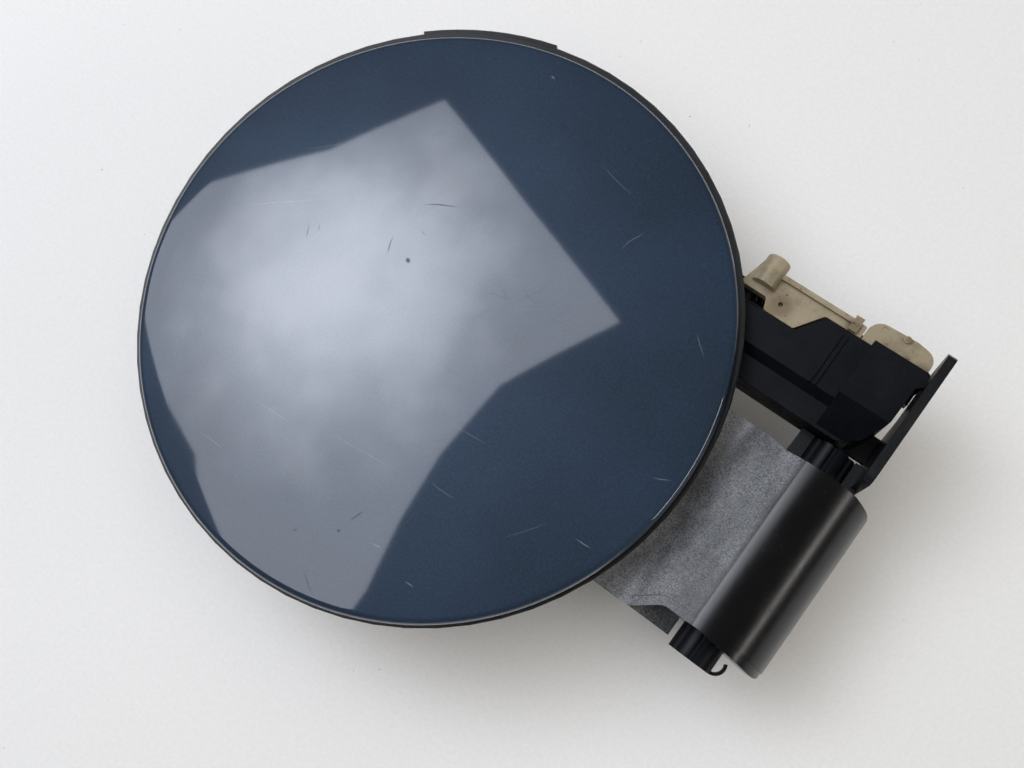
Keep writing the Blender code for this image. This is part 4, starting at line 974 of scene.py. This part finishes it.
    @staticmethod
    def soften(piece: bpy.types.Object, width_mm: float, angle: float = 32.0, segments: int = 2,
               smooth: float = SMOOTH_ANGLE) -> None:
        """Round a piece's sharp edges and shade it smooth.

        Args:
            piece: The piece.
            width_mm: Width of the rounding in millimetres.
            angle: Edges sharper than this many degrees are rounded.
            segments: Number of faces across the rounding.
            smooth: Edges sharper than this many degrees stay sharp in the shading.
        """
        bevel = piece.modifiers.new("round", "BEVEL")
        bevel.width = width_mm * MM
        bevel.segments = segments
        bevel.limit_method = "ANGLE"
        bevel.angle_limit = radians(angle)
        bevel.harden_normals = False
        Bench.select(piece)
        bpy.ops.object.modifier_apply(modifier=bevel.name)
        bpy.ops.object.shade_smooth_by_angle(angle=radians(smooth))
        level = piece.modifiers.new("level", "WEIGHTED_NORMAL")
        level.keep_sharp = True
        bpy.ops.object.modifier_apply(modifier=level.name)


@dataclass
class FlapSkin:
    """The painted skin: a shallow crowned disc whose rim rolls down into a short skirt."""

    finishes: Finishes
    radius: float = FLAP_RADIUS
    crown: float = FLAP_CROWN
    wall: float = 0.9 * MM
    roll: float = 2.0 * MM
    skirt: float = 3.3 * MM
    facets: int = 240
    dome_rings: int = 16
    roll_rings: int = 8
    roll_start: float = 84.0    # degrees, where the roll leaves the dome

    def build(self) -> bpy.types.Object:
        """Spin the skin's section round the flap's centre.

        Returns:
            The skin.
        """
        piece = Bench.turned("flap_skin_shell", self.section(), FLAP_CENTRE, UPRIGHT, self.facets)
        Bench.select(piece)
        bpy.ops.object.shade_smooth_by_angle(angle=radians(SMOOTH_ANGLE))
        self.finishes.dress(piece, Slot.PAINT)
        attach(piece, Body.FLAP.value)
        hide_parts("flap_skin")
        LOG.info("flap skin spun")
        return piece

    def height(self, reach: float) -> float:
        """Height of the dome above the rim plane, at a distance from its middle."""
        ball = (self.radius ** 2 + self.crown ** 2) / (2 * self.crown)
        return sqrt(ball ** 2 - reach ** 2) - (ball - self.crown)

    def section(self) -> list[Point3]:
        """The section's places, from the crown out and back under it.

        Returns:
            The places.
        """
        edge = self.radius - self.roll
        rings = [edge * step / self.dome_rings for step in range(self.dome_rings + 1)]
        hub = self.height(edge) - self.roll
        flat = [(reach, self.height(reach)) for reach in rings]
        for step in range(1, self.roll_rings + 1):
            angle = radians(self.roll_start * (1 - step / self.roll_rings))
            flat.append((edge + self.roll * cos(angle), hub + self.roll * sin(angle)))
        flat += [(self.radius, -self.skirt), (self.radius - self.wall, -self.skirt)]
        inner = self.roll - self.wall
        for step in range(self.roll_rings + 1):
            angle = radians(self.roll_start * step / self.roll_rings)
            flat.append((edge + inner * cos(angle), hub + inner * sin(angle)))
        flat += [(reach, self.height(reach) - self.wall) for reach in reversed(rings[:-1:2])]
        return [(FLAP_CENTRE.x + reach, FLAP_CENTRE.y, FLAP_CENTRE.z + rise) for reach, rise in flat]


@dataclass
class HingeArm:
    """The gooseneck: a moulded shell, open below, that ends in the hinge barrel."""

    finishes: Finishes
    wall: float = 2.4 * MM
    barrel_radius: float = 16.9 * MM
    barrel_facets: int = 56
    barrel_start: float = 107.0
    barrel_stop: float = -62.0
    pad_reach: float = 62.97 * MM
    pad_top: float = 13.2 * MM
    neck_low: float = -31.2 * MM
    neck_high: float = 26.6 * MM
    neck_edge: float = -34.5 * MM        # where the pad starts
    neck_dip: Point = (-24.5 * MM, 6.9 * MM)
    pad_bend: float = 8 * MM
    neck_bend: float = 9 * MM
    edge_soft_mm: float = 0.35
    bore: float = 6.9 * MM
    bore_facets: int = 64
    collar: float = 9.2 * MM
    collar_gap: float = 0.1 * MM
    collar_spans: tuple[Point, ...] = ((-24.2, -21.0), (20.4, 23.6))
    rib_places: Point = (-13.5, 10.5)
    rib_depth: float = 4.2 * MM
    rib_wall: float = 1.6 * MM
    web_slope: tuple[Point, ...] = ((-22.2, 2.8), (-7.6, -4.7))
    web_parts: tuple[tuple[float, float, float], ...] = ((-30.4, 6.2, 1.6), (-31.0, 1.4, 8.0))
    border: float = 2.5 * MM
    border_drop: float = 0.35 * MM
    border_run: float = 20 * MM
    border_start: float = -34 * MM
    border_corners: tuple[tuple[float, float, float], ...] = (
        (-50.0, -31.2, 0.0), (-20.5, -31.2, 4.0), (-13.0, -25.4, 4.0),
        (-2.0, -25.4, 0.0), (22.0, -27.8, 0.0),
    )
    screws: tuple[Point, ...] = ((-56.5, -13.0), (-56.5, 12.0), (-42.0, -19.0), (-42.0, 17.0))
    screw_hole: float = 2.1 * MM
    screw_seat: float = 4.08 * MM
    seat_height: float = 9.8 * MM
    skirt: tuple[Point, ...] = ((-10.0, -14.0), (-20.5, -6.5), (-33.0, -1.0), (-51.0, 6.0), (-63.0, 8.2))
    plan_corners: tuple[tuple[float, float, float], ...] = (
        (-63.0, -21.0, 4.0), (-49.0, -31.2, 6.0), (-20.5, -31.2, 4.0), (-13.0, -25.4, 4.0),
        (-2.0, -25.4, 0.0), (17.5, -27.4, 3.2), (17.5, 23.6, 3.2), (10.2, 24.8, 0.0),
        (-10.2, 24.8, 4.0), (-17.7, 26.6, 4.0), (-49.0, 26.6, 6.0), (-63.0, 18.0, 4.0),
    )

    def build(self) -> bpy.types.Object:
        """Shape the shell, hollow it and fit its ribs, collars and screw bosses.

        Returns:
            The arm.
        """
        roof = self.roof()
        arm = self.sheet("hinge_arm_shell", roof + self.skirt_line(), 0.0)
        Bench.combine(arm, self.border_tool(roof), Cut.AWAY)
        hollow = self.sheet("hollow", self.inside(roof), self.wall)
        Bench.combine(arm, hollow, Cut.AWAY)
        self.fit_ribs(arm, roof)
        self.fit_barrel(arm)
        self.fit_screws(arm)
        Bench.soften(arm, self.edge_soft_mm, 50.0, 2, 32.0)
        # The neck's finish holds a painted sheen along with its scuffs.
        self.finishes.dress(arm, Slot.MOULDING, self.finishes.scuffs_and_sheen)
        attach(arm, Body.FLAP.value)
        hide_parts("hinge_arm")
        LOG.info("hinge arm shaped")
        return arm

    def at(self, x: float, y: float, z: float) -> Vector:
        """A place given from the hinge axis."""
        return HINGE_AXIS + Vector((x, y, z))

    def roof(self) -> list[Point]:
        """Outer line of the roof from the pad to the barrel's lower edge, from the axis."""
        span = self.barrel_stop - self.barrel_start
        barrel = []
        for step in range(self.barrel_facets + 1):
            angle = radians(self.barrel_start + span * step / self.barrel_facets)
            barrel.append((self.barrel_radius * cos(angle), self.barrel_radius * sin(angle)))
        bends = rounded([(-self.pad_reach, self.pad_top, 0.0), (self.neck_edge, self.pad_top, self.pad_bend),
                         (*self.neck_dip, self.neck_bend), (*barrel[0], 0.0)], 10)
        return bends + barrel[1:]

    def skirt_line(self) -> list[Point]:
        """Lower edge of the side walls, from the barrel back to the pad."""
        return [(x * MM, z * MM) for x, z in self.skirt]

    def inside(self, roof: list[Point]) -> list[Point]:
        """Section of the hollow below the roof.

        Args:
            roof: The roof's outer line.

        Returns:
            The closed section.
        """
        line = beside(roof, -self.wall)
        deep = -3 * self.barrel_radius
        line[0] = (self.wall - self.pad_reach, line[0][1])
        return line + [(roof[-1][0], deep), (self.wall - self.pad_reach, deep)]

    def sheet(self, name: str, section: list[Point], inset: float) -> bpy.types.Object:
        """Push a side section across the arm and trim it to the arm's plan.

        Args:
            name: The new object's name.
            section: Section in the XZ plane, from the axis.
            inset: How far the plan is moved inwards.

        Returns:
            The solid.
        """
        low = self.neck_low - PAST
        outline = [tuple(self.at(x, low, z)) for x, z in section]
        piece = Bench.prism(name, outline, (0.0, self.neck_high + PAST - low, 0.0))
        plan = beside(rounded([(x * MM, y * MM, r * MM) for x, y, r in self.plan_corners], 6), inset, True)
        depth = 6 * self.barrel_radius + inset
        cutter = Bench.prism("plan", [tuple(self.at(x, y, -depth / 2)) for x, y in plan], (0.0, 0.0, depth))
        Bench.combine(piece, cutter, Cut.BOTH)
        return piece

    def border_tool(self, roof: list[Point]) -> bpy.types.Object:
        """Thin shell that lowers a border along the arm's lower side.

        Args:
            roof: The roof's outer line.

        Returns:
            The cutting solid.
        """
        start = [point for point in roof if point[0] > self.border_start]
        ring = beside(start, 2 * MM) + beside(start, -self.border_drop)[::-1]
        low = self.neck_low - PAST
        outline = [tuple(self.at(x, low, z)) for x, z in ring]
        tool = Bench.prism("border", outline, (0.0, self.border_run, 0.0))
        edge = rounded([(x * MM, y * MM, r * MM) for x, y, r in self.border_corners], 6)
        band = beside(edge, self.border) + beside(edge, -2 * self.border)[::-1]
        depth = 6 * self.barrel_radius
        cutter = Bench.prism("band", [tuple(self.at(x, y, -depth / 2)) for x, y in band], (0.0, 0.0, depth))
        Bench.combine(tool, cutter, Cut.BOTH)
        return tool

    def fit_ribs(self, arm: bpy.types.Object, roof: list[Point]) -> None:
        """Add the two stiffening ribs under the neck.

        Args:
            arm: The arm.
            roof: The roof's outer line.
        """
        spine = [point for point in roof if point[0] > self.neck_edge and point[1] > 0][::3]
        section = beside(spine, -self.wall / 2) + beside(spine, -self.wall - self.rib_depth)[::-1]
        for place in self.rib_places:
            outline = [tuple(self.at(x, place * MM - self.rib_wall / 2, z)) for x, z in section]
            Bench.combine(arm, Bench.prism("rib", outline, (0.0, self.rib_wall, 0.0)), Cut.WITH)

    def fit_barrel(self, arm: bpy.types.Object) -> None:
        """Bore the barrel's ends and add the bearing collars and the ledge beside the neck.

        Args:
            arm: The arm.
        """
        across = (radians(90), 0.0, 0.0)
        length = 70 * MM
        bore = Bench.rod("bore", HINGE_AXIS, self.bore, length, across, self.bore_facets)
        Bench.combine(arm, bore, Cut.AWAY)
        inner = self.bore + self.collar_gap
        for low, high in self.collar_spans:
            corners = ((inner, low), (self.collar, low), (self.collar, high), (inner, high), (inner, low))
            ring = [tuple(self.at(reach, y * MM, 0.0)) for reach, y in corners]
            collar = Bench.turned("collar", ring, HINGE_AXIS, (0.0, 1.0, 0.0), self.bore_facets)
            Bench.combine(arm, collar, Cut.WITH)
        slope = list(self.web_slope)
        for start, thick, drop in self.web_parts:
            section = slope + [(x, z - drop) for x, z in reversed(slope)]
            outline = [tuple(self.at(x * MM, start * MM, z * MM)) for x, z in section]
            Bench.combine(arm, Bench.prism("web", outline, (0.0, thick * MM, 0.0)), Cut.WITH)

    def fit_screws(self, arm: bpy.types.Object) -> None:
        """Add the pad's screw bosses with their holes and seats.

        Args:
            arm: The arm.
        """
        for x, y in self.screws:
            place = self.at(x * MM, y * MM, self.pad_top - 3.1 * MM)
            Bench.combine(arm, Bench.rod("boss", place, 4.68 * MM, 3.8 * MM, facets=40), Cut.WITH)
        for x, y in self.screws:
            place = self.at(x * MM, y * MM, self.pad_top)
            Bench.combine(arm, Bench.rod("hole", place, self.screw_hole, 30 * MM, facets=24), Cut.AWAY)
            length = 12 * MM
            seat = self.at(x * MM, y * MM, self.seat_height - length / 2)
            Bench.combine(arm, Bench.rod("seat", seat, self.screw_seat, length, facets=40), Cut.AWAY)


@dataclass
class Housing:
    """The actuator's housing: the stepped lid with its soft block, and the base below it."""

    finishes: Finishes
    block_left: float = -19.0 * MM
    block_soft: float = 2.6 * MM
    plate_soft: float = 0.9 * MM
    plate_height: float = 34.0 * MM
    block_height: float = 40.0 * MM
    sharp_angle: float = 20.0
    rounding_mm: float = 0.25
    lid_low: Vector = field(default_factory=lambda: Vector((-0.0592, 0.0549, 0.0324)))
    lid_high: Vector = field(default_factory=lambda: Vector((-0.0523, 0.0599, 0.0334)))

    def build(self) -> None:
        """Round the lid's edges as the mould does, and soften the base."""
        lid = Bench.merged_copy("housing_cover", "housing_cover_shell")
        Bench.bevel_edges(lid, self.block_edge, self.block_soft, 5)
        Bench.bevel_edges(lid, self.plate_edge, self.plate_soft, 3)
        base = Bench.merged_copy("housing_base", "housing_base_shell")
        Bench.combine(base, Bench.block("channel_lid", self.lid_low, self.lid_high), Cut.WITH)
        for piece, node in ((lid, "housing_cover"), (base, "housing_base")):
            Bench.soften(piece, self.rounding_mm)
            self.finishes.dress(piece, Slot.HOUSING)
            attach(piece, Body.BRACKET.value)
            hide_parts(node)
        LOG.info("housing rounded")

    def block_edge(self, middle: Vector, first: Vector, second: Vector) -> bool:
        """True for the convex edges round the top of the raised block."""
        sharp = first.angle(second) > radians(self.sharp_angle)
        return middle.x > self.block_left - MM and middle.z > self.block_height and sharp

    def plate_edge(self, middle: Vector, first: Vector, second: Vector) -> bool:
        """True for the edges round the top of the flat plate."""
        turned = min(first.z, second.z) < 0.2 and max(first.z, second.z) > 0.9
        return middle.x < self.block_left - 2 * MM and middle.z > self.plate_height and turned


@dataclass
class DressedNodes:
    """Pieces that keep the CAD node's form and gain soft edges."""

    finishes: Finishes
    rounding_mm: float = 0.25
    table: dict[str, tuple[Slot, Body]] = field(default_factory=lambda: {
        "inner_panel": (Slot.MOULDING, Body.FLAP),
        "stop_buffer_1": (Slot.RUBBER, Body.FLAP),
        "stop_buffer_2": (Slot.RUBBER, Body.FLAP),
        "closing_spring": (Slot.SPRING, Body.FLAP),
        "arm_screw_1": (Slot.SCREW, Body.FLAP),
        "arm_screw_2": (Slot.SCREW, Body.FLAP),
        "arm_screw_3": (Slot.SCREW, Body.FLAP),
        "arm_screw_4": (Slot.SCREW, Body.FLAP),
        "hinge_spindle": (Slot.HOUSING, Body.BRACKET),
        "mounting_bracket": (Slot.MOULDING, Body.BRACKET),
        "housing_screw_1": (Slot.SCREW, Body.BRACKET),
        "housing_screw_2": (Slot.SCREW, Body.BRACKET),
        "housing_screw_3": (Slot.SCREW, Body.BRACKET),
        "shelf_screw": (Slot.SCREW, Body.BRACKET),
        "wing_screw": (Slot.SCREW, Body.BRACKET),
        "slide_guide": (Slot.NYLON, Body.BRACKET),
        "slide_spring": (Slot.SPRING, Body.BRACKET),
        "lock_slide": (Slot.NYLON, Body.SLIDE),
    })

    def build(self) -> None:
        """Copy, soften and dress each node."""
        for node, (slot, body) in self.table.items():
            piece = Bench.merged_copy(node, node + "_piece")
            Bench.soften(piece, self.rounding_mm)
            self.finishes.dress(piece, slot)
            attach(piece, body.value)
            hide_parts(node)
            LOG.info("%s stands for %s", piece.name, node)


@dataclass
class Studio:
    """Table, window light, room light and camera."""

    table_height: float = -0.0063
    table_half: float = 1.6
    view: Viewpoint = Viewpoint()
    sensor_mm: float = 36.0
    window_height: float = 0.948
    window_dim: float = 2.7
    window_bright: float = 8.8
    bright_pixel: Point = (330, 280)
    bright_reach: float = 0.44
    side_place: Point3 = (1.30, 0.35, 0.66)
    side_size: Point = (0.9, 0.14)
    side_power: float = 3.4
    fill_height: float = 1.5
    fill_size: float = 2.2
    fill_power: float = 21.0
    # The mirrored window's edge in pixels, and its corners past the flap's rim in metres
    window_right_pixels: tuple[Point, ...] = (
        (200, 186), (330, 150), (445, 100), (530, 208), (620, 322),
        (560, 352), (500, 385), (440, 455), (400, 520), (358, 608),
    )
    window_near_corners: tuple[Point, ...] = ((-0.20, -0.60), (-0.50, -0.55))
    window_left_pixels: tuple[Point, ...] = ((195, 455), (150, 370))
    window_far_corner: Point = (-1.30, -0.20)

    def build(self) -> None:
        """Make the whole setting."""
        self.table()
        self.window()
        self.lamps()
        self.room()
        self.camera()

    def table(self) -> None:
        """Lay the table under the object."""
        Bench.select(None)
        bpy.ops.mesh.primitive_grid_add(x_subdivisions=8, y_subdivisions=8, size=2 * self.table_half,
                                        location=(0.0, 0.0, self.table_height))
        top = bpy.context.object
        top.name = "table_top"
        top.data.materials.append(TableTop().material())
        LOG.info("table laid")

    def window(self) -> None:
        """Hang the bright board that the lacquer mirrors, brightest where the sun falls on it."""
        right, left = ([self.view.in_mirror(pixel, self.window_height) for pixel in side]
                       for side in (self.window_right_pixels, self.window_left_pixels))
        outline = [self.window_far_corner, *right, *self.window_near_corners, *left]
        mesh = bpy.data.meshes.new("window_board")
        mesh.from_pydata([(x, y, self.window_height) for x, y in outline], [],
                         [tuple(range(len(outline)))])
        board = bpy.data.objects.new("window_board", mesh)
        bpy.context.scene.collection.objects.link(board)
        board.visible_camera = False
        made = Recipe("window_daylight")
        spot = (*self.view.in_mirror(self.bright_pixel, self.window_height), self.window_height)
        away = made.node("ShaderNodeVectorMath", {"operation": "DISTANCE"}, {0: made.place, 1: spot})
        ripple = made.remap(made.noise(150.0, 3.0, 0.6), 0.3, 0.7, -0.035, 0.035)
        reach = made.join(Blend.SUM, away.outputs["Value"], ripple)
        strength = made.remap(reach, 0.0, self.bright_reach, self.window_bright, self.window_dim)
        glow = made.node("ShaderNodeEmission", {}, {"Color": linear("#f1f5ff"), "Strength": strength})
        made.tree.links.new(glow.outputs[0], made.tree.nodes["Material Output"].inputs[0])
        mesh.materials.append(made.material)
        LOG.info("window hung")

    def lamps(self) -> None:
        """Hang a narrow lamp at the side and a wide one overhead for the room's own light."""
        self.area_lamp("side_lamp", self.side_place, self.side_size, self.side_power, "#fffaf4")
        over = self.area_lamp("ceiling_lamp", (-0.15, 0.10, self.fill_height),
                              (self.fill_size, self.fill_size), self.fill_power, "#fffaf3")
        over.visible_glossy = False
        LOG.info("lamps hung")

    def area_lamp(self, name: str, place: Point3, size: Point, power: float, colour: str) -> bpy.types.Object:
        """Hang one rectangular lamp that faces the object.

        Args:
            name: The lamp's name.
            place: Its middle.
            size: Its two sides.
            power: Its light in watts.
            colour: Its colour as sRGB hex.

        Returns:
            The lamp.
        """
        data = bpy.data.lights.new(name, "AREA")
        data.shape = "RECTANGLE"
        data.size, data.size_y = size
        data.energy = power
        data.color = linear(colour)[:3]
        lamp = bpy.data.objects.new(name, data)
        bpy.context.scene.collection.objects.link(lamp)
        lamp.location = place
        lamp.rotation_euler = (Vector(place) - HINGE_AXIS).to_track_quat("Z", "Y").to_euler()
        return lamp

    def room(self) -> None:
        """Fill the room with dim even light."""
        world = bpy.data.worlds.new("room")
        bpy.context.scene.world = world
        world.use_nodes = True
        back = world.node_tree.nodes["Background"]
        back.inputs["Color"].default_value = linear("#f0eeec")
        back.inputs["Strength"].default_value = 0.10

    def camera(self) -> None:
        """Stand the camera where the photograph was taken."""
        data = bpy.data.cameras.new("photo_camera")
        data.sensor_width = self.sensor_mm
        data.lens = self.view.focal_pixels * self.sensor_mm / self.view.picture_width
        data.clip_start = 0.005
        camera = bpy.data.objects.new("photo_camera", data)
        bpy.context.scene.collection.objects.link(camera)
        stand = Matrix.Translation(Vector(self.view.stand))
        camera.matrix_world = stand @ self.view.turn().to_4x4()
        bpy.context.scene.camera = camera
        LOG.info("camera placed")


def main() -> None:
    """Load the frame, build every sub-assembly and the setting."""
    logging.basicConfig(level=logging.INFO, format="%(message)s")
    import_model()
    scene = bpy.context.scene
    scene.view_settings.view_transform = "Standard"
    Studio().build()
    finishes = Finishes()
    FlapSkin(finishes).build()
    HingeArm(finishes).build()
    Housing(finishes).build()
    DressedNodes(finishes).build()


if __name__ == "__main__":
    main()
